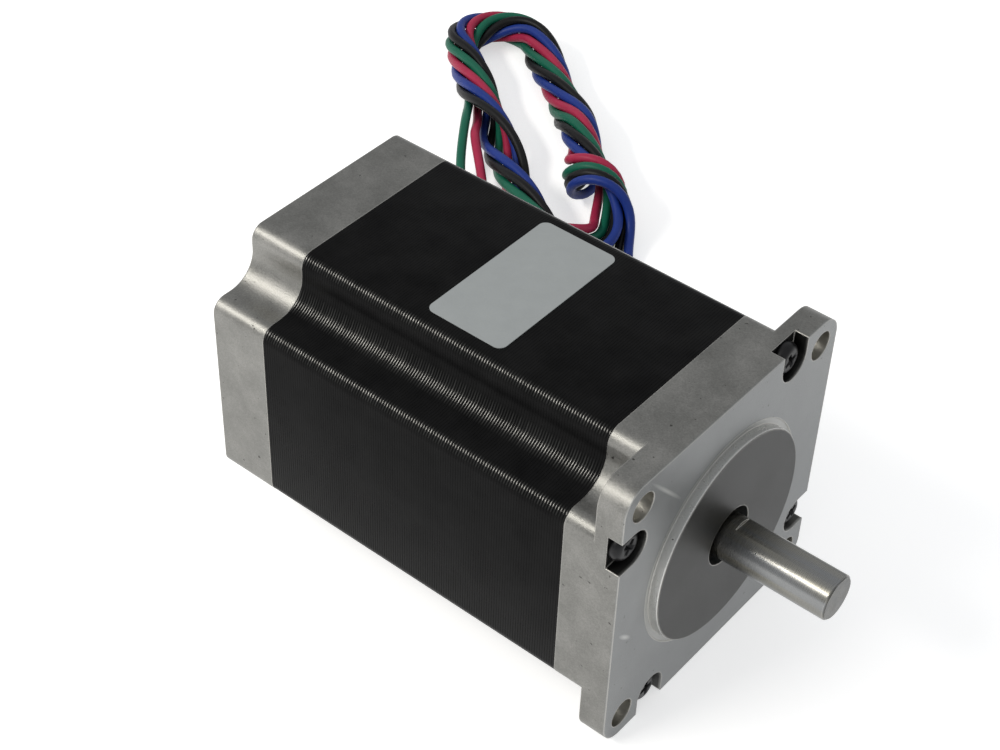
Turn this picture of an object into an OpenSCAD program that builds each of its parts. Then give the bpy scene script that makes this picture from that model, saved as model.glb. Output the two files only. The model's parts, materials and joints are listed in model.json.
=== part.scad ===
// Two-phase stepper motor, square 56 mm frame, with four leads twisted into a ring.
// Frame: origin at the centre of the mounting face, +X out along the shaft, +Z up, resting on -Z.

/* [Body] */
// width and height of the square body (mm)
body_width = 56.4; // [46:0.2:66]
// length from the mounting face to the rear face
body_length = 84; // [50:0.5:120]
// thickness of the mounting flange
flange_thickness = 5; // [3:0.1:10]
// corner radius of the flange
flange_corner = 4.5; // [0.5:0.1:8]
// length of the front cap behind the mounting face
front_cap_length = 10.6; // [10:0.1:16]
// thickness of the rear wall behind the bearing's pocket
rear_wall = 1.5; // [1:0.1:6]
// depth of the corner notch that clears the mounting screws
notch_depth = 9.65; // [8:0.05:11]
// rounding of the two shoulders beside each notch
shoulder_radius = 2.5; // [0.5:0.1:4]
// fillet radius in the corner of each notch
notch_fillet = 5.45; // [1:0.05:7]

/* [Mounting] */
// distance from each side of the flange to the mounting holes
hole_edge = 4.63; // [3.8:0.01:6]
// diameter of the mounting holes
hole_diameter = 5.2; // [3:0.1:6.6]
// diameter of the centring pilot
pilot_diameter = 38.1; // [30:0.1:42]
// height of the pilot above the mounting face
pilot_height = 1.6; // [1:0.1:3]
// edge chamfer of the pilot
pilot_chamfer = 0.15; // [0.05:0.05:0.5]
// width of the machined ring round the pilot
relief_width = 1.1; // [0.5:0.1:3]
// depth of the machined ring round the pilot
relief_depth = 0.2; // [0.1:0.05:1]
// gap between the shaft and the opening that it comes out of
shaft_gap = 1.4; // [0.5:0.1:3]

/* [Shaft] */
// diameter of the output shaft
shaft_diameter = 8; // [6:0.05:9]
// reach of the shaft past the mounting face
shaft_reach = 22; // [10:0.5:40]
// depth of the flat on the shaft
flat_depth = 0.5; // [0.2:0.05:1.5]
// length of the flat from the tip
flat_length = 18.5; // [5:0.5:30]
// turn of the flat round the shaft, from +Y towards +Z (degrees)
flat_angle = 83; // [0:1:359]
// end chamfer of the shaft
shaft_chamfer = 0.35; // [0.1:0.05:1]
// height of the shoulders against the bearings
shoulder_step = 1.2; // [0.5:0.1:1.6]
// rise from those shoulders to the rotor's seat
journal_step = 0.8; // [0.2:0.1:3]

/* [Assembly screws] */
// distance from the body's side to each screw
screw_edge = 3.1; // [2.2:0.05:3.4]
// distance from the notch's wall to each screw
screw_inset = 2.75; // [2.2:0.05:5]
// diameter of the screw shank
screw_diameter = 3; // [2:0.1:3.6]
// wall left between the screw's tip and the rear face
screw_end = 3.35; // [0:0.05:8]
// diameter of the screw head
head_diameter = 5.6; // [4.4:0.1:7]
// height of the screw head
head_height = 1.9; // [1.4:0.1:4]
// depth of the open pocket in the flange
pocket_depth = 2.65; // [1:0.05:4.5]
// gap between the screw head and its pocket
pocket_gap = 0.55; // [0.2:0.05:1.5]

/* [Stator and rotor] */
// depth from the bottom of the winding slots to the stator's bore
slot_depth = 7.6; // [6.6:0.1:9]
// air gap between stator and rotor teeth
air_gap = 0.1; // [0.05:0.01:0.3]
// depth of the teeth on both
tooth_depth = 0.8; // [0.4:0.05:1.5]
// width of a tooth on both
tooth_width = 1; // [0.5:0.05:1.4]
// thickness of the iron outside the winding slots
yoke_thickness = 3.6; // [2.8:0.1:4.2]
// thickness of a pole's shoe
shoe_thickness = 2.5; // [1.5:0.1:3.5]
// how far the rotor stays inside the stack at each end
rotor_inset = 2.55; // [0.5:0.05:8]
// thickness of each magnet disc
magnet_thickness = 2; // [1:0.1:4]
// thickness of the spacer between the two cup pairs
spacer_thickness = 1; // [0.5:0.1:4]

/* [Windings] */
// thickness of a coil, measured round its pole
coil_thickness = 2.8; // [1.5:0.1:3.4]
// room left beside each coil, up to the middle of its slot
coil_side_room = 0.84; // [0.3:0.01:1.6]
// room left between each coil and the bottom of its slot
coil_slot_room = 0.53; // [0.3:0.01:2]
// thickness of the insulator plates
insulator_thickness = 1; // [0.5:0.1:1.5]
// thickness of the slot liners
liner_thickness = 0.7; // [0.3:0.05:1]
// how far the liners reach into the slots
liner_length = 12; // [5:0.5:25]

/* [Bearings] */
// outer diameter of the bearings
bearing_outer = 22; // [19:0.1:25]
// width of the bearings
bearing_width = 7; // [5.5:0.1:8]
// ball diameter
ball_diameter = 3.968; // [3.5:0.001:4.4]
// height of the wave spring behind the rear bearing
spring_height = 0.9; // [0.4:0.05:1.5]

/* [Leads] */
// diameter of a lead over its insulation
lead_diameter = 1.9; // [1.2:0.1:2.2]
// wall between two leads in the grommet
lead_wall = 0.5; // [0.3:0.05:1.5]
// twists in one loop of the ring
twists = 3.5; // [1.5:1:3.5]
// pitch of the wrap that ties the ring
wrap_pitch = 20; // [20:0.5:30]

/* [Label] */
// length of the bare label along the body
label_length = 15.3; // [8:0.1:30]
// distance from the label's ends to the rounding of the shoulders
label_margin = 1.05; // [0:0.05:10]
// thickness of the label
label_thickness = 0.12; // [0.08:0.01:0.3]
// distance from the front cap's seam to the label
label_gap = 23.4; // [2:0.1:40]

/* [Hidden] */
half = body_width / 2;
rear_seat_depth = 1;
rear_dimple_depth = 0.9;
rear_cap_length = rear_seat_depth + bearing_width + spring_height + rear_dimple_depth + rear_wall;
stack_front = -front_cap_length;
stack_rear = rear_cap_length - body_length;
stack_length = stack_front - stack_rear;
notch_wall = half - notch_depth;
rear_face = -body_length;
round_steps = 96;

// small working values (mm)
fit_gap = 0.1;
overlap = 0.5;
shank_clearance = 0.1;
thread_clearance = 0.02;

// caps
hole_spacing = body_width - 2 * hole_edge;
shaft_opening = shaft_diameter + 2 * shaft_gap;
slot_radius = half - yoke_thickness;
seat_depth = 9;
seat_front = -seat_depth + bearing_width;
boss_wall = 2.4;
boss_radius = bearing_outer / 2 + boss_wall;
boss_lip = 0.25;
boss_end_front = -seat_depth - boss_lip;
cavity_ease = 0.4;
cavity_radius = slot_radius + cavity_ease;
front_wall = 5.5;
cavity_front = -front_wall;
rear_bearing_front = stack_rear - rear_seat_depth;
rear_bearing_rear = rear_bearing_front - bearing_width;
spring_rear = rear_bearing_rear - spring_height;
cavity_floor = 4.4;
cavity_rear = rear_face + cavity_floor;
boss_inset = 0.8;
boss_start_rear = stack_rear - boss_inset;
race_relief_ease = 0.5;
race_relief_depth = 0.4;
dimple_ease = 1;

// teeth
pole_count = 8;
teeth_per_pole = 6;
rotor_teeth = 50;
tooth_pitch = 360 / rotor_teeth;
stator_radius = slot_radius - slot_depth;
rotor_radius = stator_radius - air_gap;
shoe_back = stator_radius + shoe_thickness;
shoe_tip_share = 0.64;
shoe_tip_back = stator_radius + tooth_depth
                + shoe_tip_share * (shoe_thickness - tooth_depth);
shoe_half_angle = 20.3;
slot_arc_steps = 6;

// rotor, from the front
rotor_front = stack_front - rotor_inset;
cup_length = (stack_length - 2 * rotor_inset - 2 * magnet_thickness - spacer_thickness) / 4;
cup_2_front = rotor_front - cup_length - magnet_thickness;
spacer_front = cup_2_front - cup_length;
cup_3_front = spacer_front - spacer_thickness;
cup_4_front = cup_3_front - cup_length - magnet_thickness;
rotor_rear = cup_4_front - cup_length;
magnet_step = 0.7;
magnet_radius = rotor_radius - tooth_depth - magnet_step;
shaft_radius = shaft_diameter / 2;
shaft_stub = 0.3;
relief_groove_width = 0.7;
relief_groove_depth = 0.25;
shaft_rear = rear_bearing_rear - shaft_stub;
shaft_shoulder_radius = shaft_radius + shoulder_step;
journal_radius = shaft_shoulder_radius + journal_step;
spacer_width = 6;
spacer_radius = journal_radius + spacer_width;

// coils and insulators
coil_gap = 0.4;
coil_start = shoe_back + coil_gap;
coil_inner = coil_start * tan(180 / pole_count) - coil_side_room - coil_thickness;
pole_width = 2 * (coil_inner - liner_thickness - fit_gap - fit_gap / 2);
coil_width = sqrt(pow(slot_radius - coil_slot_room, 2) - pow(coil_inner + coil_thickness, 2))
             - coil_start;
coil_overhang = insulator_thickness + fit_gap;
coil_corner = 1.2;
liner_gap = fit_gap / 2;
rim_height = coil_overhang + coil_thickness;
rim_width = 0.6;
plate_ease = 0.2;
plate_radius = slot_radius - plate_ease;

// bearings
ball_circle = (shaft_diameter + bearing_outer) / 2;
groove_ease = 0.066;
groove_radius = ball_diameter / 2 + groove_ease;
inner_land = 1.6;
inner_race_radius = ball_circle / 2 - inner_land;
outer_land = 1.9;
outer_race_radius = ball_circle / 2 + outer_land;
ball_count = 7;
cage_half = 0.6;
cage_side = 0.4;
pocket_clearance = 0.06;
cage_width = ball_diameter + 2 * cage_side + pocket_clearance / 2;
shield_thickness = 0.3;
shield_inset = 0.3;
shield_reach = 0.4;
shield_gap = 0.02;
race_relief_radius = ball_circle / 2 + race_relief_ease;
rear_dimple_radius = shaft_radius + dimple_ease;
spring_waves = 3;
spring_steps = 36;
spring_strip_share = 1 / 3;
spring_width = 2.4;
spring_margin = 0.6;
spring_outer = bearing_outer / 2 - spring_margin;
spring_inner = spring_outer - spring_width;

// screws
screw_length = body_length - pocket_depth - screw_end;
screw_near = notch_wall - screw_inset;
screw_far = half - screw_edge;
pocket_width = head_diameter + 2 * pocket_gap;
head_dome = 0.7;
head_top_share = 0.66;
first_turn = 20;
next_turn = 35;
cross_length = 3.2;
cross_width = 0.75;
cross_depth = 1.1;
screw_spots = [[screw_near, screw_far], [-screw_far, screw_near],
               [-screw_near, -screw_far], [screw_far, -screw_near]];

// grommet and leads
lead_radius = lead_diameter / 2;
lead_pitch = lead_diameter + lead_wall;
window_side = 0.75;
window_end = 1.05;
window_width = lead_diameter + 2 * window_side;
window_height = 3 * lead_pitch + lead_diameter + 2 * window_end;
window_round = 1.6;
window_sill = 0.1;
row_x = cavity_rear + window_sill + window_width / 2;
lip_thickness = 1;
lip_margin = 0.8;
grommet_stand = 0.6;
grommet_inner = cavity_radius - grommet_stand;
hole_ease = 0.06;
sleeve_wall = 0.17;
sleeve_radius = lead_radius + sleeve_wall;
sleeve_length = 7;
label_width = 2 * (notch_wall - shoulder_radius - label_margin);
label_front = stack_front - label_gap;
label_corner = 1.5;

// the ring of leads: a belt round three circles on the floor
floor_z = -half;
lay_long_share = 1.842;
lay_short_share = 1.368;
lay_long = lay_long_share * lead_diameter;
lay_short = lay_short_share * lead_diameter;
belt = [[[-84, 70.5], 7], [[-138.3, 113.5], 9], [[-137, 61], 50]];
first_entry = 43.5;
entry_angle = -30;
way_in_before = 4;
way_in_after = 5;
way_in_straight = 2;
lean_out_share = 0.32;
lean_up_share = 0.33;
wrap_clearance = 0.43;
wrap_radius = lay_long + lead_diameter + wrap_clearance;
low_height = lead_radius + lay_long;
high_height = lead_radius + wrap_radius;
lift_length = 10;
wrap_ramp = 5;
wrap_before = 25;
wind_before = 4;
wind_start_share = 0.6;
raise_before = 46;
raise_length = 16;
lower_after = 11;
lower_length = 18;
tail_ease = 4.5;
tail_settle = 14;
tail_length = 7;
row_gap = 0.25;
row_pitch = lead_diameter + row_gap;
step_rope = 3.9;
step_wrap = 1.25;
free_step_count = 5;
// route points of the leads' free stretches, from the grommet to the ring
red_route = [[-77.8, 24.4, 1.2], [-77.8, 30, 1.2], [-77.5, 36, 1], [-78.7, 42.5, -2.5],
             [-82.5, 48, -10], [-88, 52.6, -17.8], [-94.5, 57.6, -24.2],
             [-101, 63.3, -26.7], [-107.5, 71, -24.8]];
green_route = [[-77.8, 24.4, 3.6], [-77.8, 30, 3.6], [-77.8, 37, 3.5], [-79.5, 44.5, -0.5],
               [-84.5, 49.5, -8], [-91, 54, -16], [-98, 58.4, -22.6],
               [-106.5, 63.7, -25.4], [-115, 71.6, -24]];
black_route = [[-77.8, 24.4, -3.6], [-77.8, 30, -3.6], [-77.5, 35, -4], [-76.5, 40, -7.5],
               [-76, 45.4, -13.4], [-77.7, 51.2, -19.2]];
blue_route = [[-77.8, 24.4, -1.2], [-77.8, 30, -1.2], [-77.5, 35, -1.5], [-77.5, 41, -4.5],
              [-79.6, 46.3, -11], [-84.8, 51.1, -17.6]];
route_end = 6;

// shapes that several pieces share

// a drawing in the Y-Z plane, made solid from x0 to x1
module slab(x0, x1) {
  translate([x0, 0, 0])
    rotate([90, 0, 90])
      linear_extrude(x1 - x0)
        children();
}

// a cylinder on the shaft axis from x0 to x1
module drum(x0, x1, r) {
  translate([x0, 0, 0])
    rotate([0, 90, 0])
      cylinder(h = x1 - x0, r = r, $fn = round_steps);
}

// a ring on the shaft axis
module hoop(x0, x1, r_out, r_in) {
  difference() {
    drum(x0, x1, r_out);
    drum(x0 - overlap, x1 + overlap, r_in);
  }
}

// a rectangle with round corners
module plate_2d(w, h, r) {
  square([w, h - 2 * r], center = true);
  square([w - 2 * r, h], center = true);
  for (sx = [-1, 1], sy = [-1, 1])
    translate([sx * (w / 2 - r), sy * (h / 2 - r)])
      circle(r = r, $fn = round_steps / 2);
}

// the body's section behind the flange, with its four corner notches
module body_2d() {
  plate_2d(body_width, 2 * notch_wall, shoulder_radius);
  plate_2d(2 * notch_wall, body_width, shoulder_radius);
  for (sy = [-1, 1], sz = [-1, 1])
    scale([sy, sz])
      difference() {
        translate([notch_wall - overlap, notch_wall - overlap])
          square(notch_fillet + overlap);
        translate([notch_wall + notch_fillet, notch_wall + notch_fillet])
          circle(r = notch_fillet, $fn = round_steps);
      }
}

module screw_holes(x0, x1, r) {
  for (s = screw_spots)
    translate([x0, s[0], s[1]])
      rotate([0, 90, 0])
        cylinder(h = x1 - x0, r = r, $fn = round_steps / 2);
}

// the two end caps

// a screw pocket, open through the side that it is near
module pocket_2d(s) {
  side = abs(s[0]) > abs(s[1]) ? [sign(s[0]), 0] : [0, sign(s[1])];
  reach = half - screw_far + overlap;
  translate(s)
    circle(d = pocket_width, $fn = round_steps);
  translate(s + side * reach / 2)
    square([side[0] == 0 ? pocket_width : reach, side[1] == 0 ? pocket_width : reach],
           center = true);
}

module front_end_cap() {
  color([0.62, 0.63, 0.62])
    difference() {
      union() {
        slab(-flange_thickness, 0)
          plate_2d(body_width, body_width, flange_corner);
        slab(stack_front, -flange_thickness)
          body_2d();
        drum(-flange_thickness, pilot_height - pilot_chamfer, pilot_diameter / 2);
        translate([pilot_height - pilot_chamfer, 0, 0])
          rotate([0, 90, 0])
            cylinder(h = pilot_chamfer, r1 = pilot_diameter / 2,
                     r2 = pilot_diameter / 2 - pilot_chamfer, $fn = round_steps);
      }
      // machined ring round the pilot
      difference() {
        drum(-relief_depth, overlap, pilot_diameter / 2 + relief_width);
        drum(-relief_depth - overlap, 2 * overlap, pilot_diameter / 2);
      }
      // opening for the shaft, race relief and bearing seat
      drum(-flange_thickness, pilot_height + overlap, shaft_opening / 2);
      drum(seat_front - overlap, seat_front + race_relief_depth, race_relief_radius);
      drum(stack_front - overlap, seat_front, bearing_outer / 2);
      // room for the end turns, round the bearing boss
      difference() {
        drum(stack_front - overlap, cavity_front, cavity_radius);
        drum(boss_end_front, cavity_front + overlap, boss_radius);
      }
      for (sy = [-1, 1], sz = [-1, 1])
        translate([-flange_thickness - overlap, sy * hole_spacing / 2, sz * hole_spacing / 2])
          rotate([0, 90, 0])
            cylinder(h = flange_thickness + 2 * overlap, d = hole_diameter, $fn = round_steps);
      slab(-pocket_depth, overlap)
        for (s = screw_spots)
          pocket_2d(s);
      screw_holes(stack_front - overlap, overlap, screw_diameter / 2 + shank_clearance);
    }
}

module rear_end_cap() {
  color([0.6, 0.61, 0.6])
    difference() {
      slab(rear_face, stack_rear)
        body_2d();
      difference() {
        drum(cavity_rear, stack_rear + overlap, cavity_radius);
        drum(cavity_rear - overlap, boss_start_rear, boss_radius);
      }
      drum(spring_rear, stack_rear, bearing_outer / 2);
      drum(spring_rear - rear_dimple_depth, stack_rear, rear_dimple_radius);
      screw_holes(rear_face - overlap, stack_rear + overlap,
                  screw_diameter / 2 + thread_clearance);
      // window for the leads, in the +Y wall
      translate([row_x, grommet_inner - 2 * overlap, 0])
        rotate([-90, 0, 0])
          linear_extrude(half - grommet_inner + 3 * overlap)
            plate_2d(window_width, window_height, window_round);
    }
}

// the stator and its windings

function polar(r, a) = [r * cos(a), r * sin(a)];

// angle at which a line at distance w from a radius meets a circle of radius r
function side_angle(w, r) = asin(w / r);

// outline of the air inside the stack: teeth, shoes, pole sides and slot bottoms
function pole_outline(a, tooth_half, shoe_in) = [
  for (j = [0 : teeth_per_pole - 1])
    let (c = a + (j - (teeth_per_pole - 1) / 2) * tooth_pitch)
    for (p = [polar(shoe_in, c - tooth_half), polar(stator_radius, c - tooth_half),
              polar(stator_radius, c + tooth_half), polar(shoe_in, c + tooth_half)]) p,
  polar(shoe_in, a + shoe_half_angle),
  polar(shoe_tip_back, a + shoe_half_angle),
  polar(shoe_back, a + side_angle(pole_width / 2, shoe_back)),
  for (j = [0 : slot_arc_steps])
    let (b = side_angle(pole_width / 2, slot_radius), wide = 360 / pole_count - 2 * b)
    polar(slot_radius, a + b + wide * j / slot_arc_steps),
  polar(shoe_back, a + 360 / pole_count - side_angle(pole_width / 2, shoe_back)),
  polar(shoe_tip_back, a + 360 / pole_count - shoe_half_angle),
  polar(shoe_in, a + 360 / pole_count - shoe_half_angle)
];

module air_2d() {
  tooth_half = side_angle(tooth_width / 2, stator_radius);
  points = [for (p = [0 : pole_count - 1])
            each pole_outline(p * 360 / pole_count, tooth_half, stator_radius + tooth_depth)];
  polygon(points);
}

module stator_stack() {
  color([0.13, 0.13, 0.14])
    difference() {
      slab(stack_rear, stack_front)
        difference() {
          body_2d();
          air_2d();
        }
      screw_holes(stack_rear - overlap, stack_front + overlap,
                  screw_diameter / 2 + shank_clearance);
    }
}

// insulator on one end of the stack, drawn for the front and turned over for the rear
module insulator() {
  arm_inner = pole_width / 2 + liner_gap;
  arm_half = arm_inner + liner_thickness;
  rim_start = shoe_back - shoe_thickness / 2;
  arm_reach = plate_radius - overlap;
  intersection() {
    union() {
      difference() {
        drum(stack_front, stack_front + insulator_thickness, plate_radius);
        drum(stack_front - overlap, stack_front + 2 * insulator_thickness,
             plate_radius - rim_width);
      }
      for (p = [0 : pole_count - 1])
        rotate([p * 360 / pole_count, 0, 0]) {
          translate([stack_front, rim_start, -arm_half])
            cube([insulator_thickness, arm_reach - rim_start, 2 * arm_half]);
          translate([stack_front, rim_start, -coil_inner - coil_thickness / 2])
            cube([rim_height, 2 * rim_width, 2 * coil_inner + coil_thickness]);
          for (s = [-1, 1])
            translate([stack_front - liner_length, shoe_back + fit_gap,
                       s * (arm_inner + liner_thickness / 2) - liner_thickness / 2])
              cube([liner_length + overlap, arm_reach - shoe_back - liner_thickness,
                    liner_thickness]);
        }
    }
    drum(stack_front - liner_length, stack_front + rim_height, plate_radius);
  }
}

module front_winding_insulator() {
  color([0.82, 0.8, 0.72])
    insulator();
}

module rear_winding_insulator() {
  color([0.82, 0.8, 0.72])
    translate([stack_front + stack_rear, 0, 0])
      mirror([1, 0, 0])
        insulator();
}

// one coil, wound round a pole at the angle a
module coil(a) {
  length = stack_length + 2 * coil_overhang;
  rotate([a, 0, 0])
    translate([(stack_front + stack_rear) / 2, coil_start, 0])
      rotate([-90, 0, 0])
        linear_extrude(coil_width)
          difference() {
            plate_2d(length + 2 * coil_thickness, 2 * (coil_inner + coil_thickness),
                     2 * coil_corner);
            plate_2d(length, 2 * coil_inner, coil_corner / 2);
          }
}

module phase_a_windings() {
  color([0.72, 0.36, 0.16])
    for (p = [0 : 2 : pole_count - 1])
      coil(p * 360 / pole_count);
}

module phase_b_windings() {
  color([0.66, 0.32, 0.14])
    for (p = [1 : 2 : pole_count - 1])
      coil(p * 360 / pole_count);
}

// the long screws

module assembly_screw() {
  drum(-pocket_depth - screw_length, -pocket_depth, screw_diameter / 2);
  difference() {
    union() {
      drum(-pocket_depth, -pocket_depth + head_height - head_dome, head_diameter / 2);
      translate([-pocket_depth + head_height - head_dome, 0, 0])
        rotate([0, 90, 0])
          cylinder(h = head_dome, d1 = head_diameter, d2 = head_top_share * head_diameter,
                   $fn = round_steps);
    }
    for (t = [0, 90])
      rotate([t, 0, 0])
        translate([-pocket_depth + head_height - cross_depth, -cross_length / 2,
                   -cross_width / 2])
          cube([cross_depth + overlap, cross_length, cross_width]);
  }
}

module assembly_screws() {
  color([0.08, 0.08, 0.09])
    for (i = [0 : 3])
      translate([0, screw_spots[i][0], screw_spots[i][1]])
        rotate([first_turn + next_turn * i, 0, 0])
          assembly_screw();
}

// the two ball bearings

// one race, as a ring with the ball groove taken out, centred on x = 0
module race(r_out, r_in) {
  rotate([0, 90, 0])
    rotate_extrude($fn = round_steps)
      difference() {
        translate([r_in, -bearing_width / 2])
          square([r_out - r_in, bearing_width]);
        translate([ball_circle / 2, 0])
          circle(r = groove_radius, $fn = round_steps / 2);
      }
}

module shields() {
  reach = bearing_width / 2 - shield_inset;
  shield_inner = inner_race_radius + shield_reach;
  hoop(reach - shield_thickness, reach, outer_race_radius - shield_gap, shield_inner);
  hoop(-reach, -reach + shield_thickness, outer_race_radius - shield_gap, shield_inner);
}

module balls(r) {
  for (i = [0 : ball_count - 1])
    rotate([i * 360 / ball_count, 0, 0])
      translate([0, ball_circle / 2, 0])
        sphere(r = r, $fn = round_steps / 2);
}

// ring with a round pocket bored through it for each ball
module cage() {
  difference() {
    hoop(-cage_width / 2, cage_width / 2, ball_circle / 2 + cage_half,
         ball_circle / 2 - cage_half);
    for (i = [0 : ball_count - 1])
      rotate([i * 360 / ball_count, 0, 0])
        rotate([-90, 0, 0])
          cylinder(h = ball_circle, r = ball_diameter / 2 + pocket_clearance,
                   $fn = round_steps / 2);
  }
}

module at_front_bearing() {
  translate([seat_front - bearing_width / 2, 0, 0])
    children();
}

module at_rear_bearing() {
  translate([rear_bearing_front - bearing_width / 2, 0, 0])
    children();
}

module front_bearing_outer_race() {
  color([0.75, 0.76, 0.78]) at_front_bearing() race(bearing_outer / 2, outer_race_radius);
}

module rear_bearing_outer_race() {
  color([0.75, 0.76, 0.78]) at_rear_bearing() race(bearing_outer / 2, outer_race_radius);
}

module front_bearing_inner_race() {
  color([0.78, 0.79, 0.8]) at_front_bearing() race(inner_race_radius, shaft_radius);
}

module rear_bearing_inner_race() {
  color([0.78, 0.79, 0.8]) at_rear_bearing() race(inner_race_radius, shaft_radius);
}

module front_bearing_shields() {
  color([0.7, 0.7, 0.71]) at_front_bearing() shields();
}

module rear_bearing_shields() {
  color([0.7, 0.7, 0.71]) at_rear_bearing() shields();
}

module front_bearing_balls() {
  color([0.85, 0.86, 0.88]) at_front_bearing() balls(ball_diameter / 2);
}

module rear_bearing_balls() {
  color([0.85, 0.86, 0.88]) at_rear_bearing() balls(ball_diameter / 2);
}

module front_bearing_cage() {
  color([0.6, 0.55, 0.4]) at_front_bearing() cage();
}

module rear_bearing_cage() {
  color([0.6, 0.55, 0.4]) at_rear_bearing() cage();
}

// waved ring behind the rear bearing, built up of flat steps round the ring
module wave_spring() {
  thick = spring_height * spring_strip_share;
  steps = spring_steps;
  wave = (spring_height - thick) / 2;
  rings = [for (i = [0 : steps - 1])
           let (a = 360 * i / steps, x = spring_rear + spring_height / 2
                + wave * cos(spring_waves * a))
           each [[x - thick / 2, spring_inner * cos(a), spring_inner * sin(a)],
                 [x + thick / 2, spring_inner * cos(a), spring_inner * sin(a)],
                 [x + thick / 2, spring_outer * cos(a), spring_outer * sin(a)],
                 [x - thick / 2, spring_outer * cos(a), spring_outer * sin(a)]]];
  color([0.55, 0.56, 0.58])
    polyhedron(rings, [for (i = [0 : steps - 1], k = [0 : 3])
                       let (n = (i + 1) % steps, m = (k + 1) % 4)
                       each [[4 * i + k, 4 * i + m, 4 * n + m], [4 * i + k, 4 * n + m, 4 * n + k]]]);
}

// the shaft and what turns with it

// a turned bar, drawn with its flat facing down and then set at the flat's angle
module motor_shaft() {
  tip = shaft_radius - shaft_chamfer;
  groove_bottom = shaft_radius - relief_groove_depth;
  profile = [[0, shaft_rear], [tip, shaft_rear], [shaft_radius, shaft_rear + shaft_chamfer],
             [shaft_radius, rear_bearing_front], [shaft_shoulder_radius, rear_bearing_front],
             [shaft_shoulder_radius, rotor_rear], [journal_radius, rotor_rear],
             [journal_radius, rotor_front], [shaft_shoulder_radius, rotor_front],
             [shaft_shoulder_radius, seat_front - bearing_width],
             [shaft_radius, seat_front - bearing_width], [shaft_radius, seat_front],
             [groove_bottom, seat_front], [groove_bottom, seat_front + relief_groove_width],
             [shaft_radius, seat_front + relief_groove_width],
             [shaft_radius, shaft_reach - shaft_chamfer], [tip, shaft_reach], [0, shaft_reach]];
  color([0.8, 0.81, 0.82])
    rotate([flat_angle + 90, 0, 0])
      difference() {
        rotate([0, 90, 0])
          rotate_extrude($fn = round_steps)
            polygon(profile);
        translate([shaft_reach - flat_length, -shaft_radius, flat_depth - 2 * shaft_radius])
          cube([flat_length + overlap, 2 * shaft_radius, shaft_radius]);
      }
}

// one toothed cup, its front face at x, its teeth turned by the angle a
module cup(x, a) {
  tooth_half = side_angle(tooth_width / 2, rotor_radius);
  root = rotor_radius - tooth_depth;
  root_half = side_angle(tooth_width / 2, root);
  outline = [for (i = [0 : rotor_teeth - 1])
             let (c = a + i * tooth_pitch)
             each [polar(root, c - root_half), polar(rotor_radius, c - tooth_half),
                   polar(rotor_radius, c + tooth_half), polar(root, c + root_half)]];
  difference() {
    slab(x - cup_length, x)
      polygon(outline);
    drum(x - cup_length - overlap, x + overlap, journal_radius);
  }
}

module rotor_cup_1() {
  color([0.45, 0.46, 0.48]) cup(rotor_front, 0);
}

module rotor_cup_2() {
  color([0.45, 0.46, 0.48]) cup(cup_2_front, tooth_pitch / 2);
}

module rotor_cup_3() {
  color([0.45, 0.46, 0.48]) cup(cup_3_front, 0);
}

module rotor_cup_4() {
  color([0.45, 0.46, 0.48]) cup(cup_4_front, tooth_pitch / 2);
}

module rotor_magnet_1() {
  color([0.3, 0.3, 0.32])
    hoop(cup_2_front, cup_2_front + magnet_thickness, magnet_radius, journal_radius);
}

module rotor_magnet_2() {
  color([0.3, 0.3, 0.32])
    hoop(cup_4_front, cup_4_front + magnet_thickness, magnet_radius, journal_radius);
}

module rotor_spacer() {
  color([0.8, 0.72, 0.4])
    hoop(cup_3_front, spacer_front, spacer_radius, journal_radius);
}

// the grommet, the splice sleeves and the label

function row_z(i) = (i - 1.5) * lead_pitch;

module lead_grommet() {
  color([0.06, 0.06, 0.07])
    difference() {
      translate([row_x, 0, 0])
        rotate([-90, 0, 0]) {
          translate([0, 0, grommet_inner])
            linear_extrude(half - grommet_inner)
              plate_2d(window_width, window_height, window_round);
          translate([0, 0, half])
            linear_extrude(lip_thickness)
              plate_2d(window_width + 2 * lip_margin, window_height + 2 * lip_margin,
                       window_round + lip_margin / 2);
        }
      for (i = [0 : 3])
        translate([row_x, grommet_inner - overlap, row_z(i)])
          rotate([-90, 0, 0])
            cylinder(h = half, r = lead_radius + hole_ease, $fn = round_steps / 2);
    }
}

module lead_splice_sleeves() {
  color([0.1, 0.1, 0.1])
    for (i = [0 : 3])
      translate([row_x, grommet_inner - sleeve_length, row_z(i)])
        rotate([-90, 0, 0])
          cylinder(h = sleeve_length, r = sleeve_radius, $fn = round_steps / 2);
}

module rating_label() {
  color([0.6, 0.62, 0.61])
    translate([label_front - label_length / 2, 0, half])
      linear_extrude(label_thickness)
        plate_2d(label_length, label_width, label_corner);
}

// the ring's centre line, and where each lead lies round it

function unit(v) = v / norm(v);
function smooth(t) = let (c = min(max(t, 0), 1)) c * c * (3 - 2 * c);
function heading(v) = atan2(v[1], v[0]);
function wrap_turn(a) = a - 360 * floor(a / 360);
function blend(a, b, w) = a + (b - a) * w;

// outward normal of the straight from one circle of the belt to the next
function straight_normal(i) =
  let (a = belt[i], b = belt[(i + 1) % 3], gap = b[0] - a[0],
       c = (a[1] - b[1]) / norm(gap), u = unit(gap))
  c * u + sqrt(1 - c * c) * [-u[1], u[0]];

function straight_length(i) =
  let (n = straight_normal(i), a = belt[i], b = belt[(i + 1) % 3])
  norm(b[0] + b[1] * n - a[0] - a[1] * n);

function arc_length(i) =
  let (turn = wrap_turn(heading(straight_normal(i)) - heading(straight_normal((i + 1) % 3))))
  belt[(i + 1) % 3][1] * turn * PI / 180;

lengths = [for (i = [0 : 2]) each [straight_length(i), arc_length(i)]];
normals = [for (i = [0 : 2]) straight_normal(i)];
loop = lengths[0] + lengths[1] + lengths[2] + lengths[3] + lengths[4] + lengths[5];
corner = loop - lengths[5];

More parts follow.
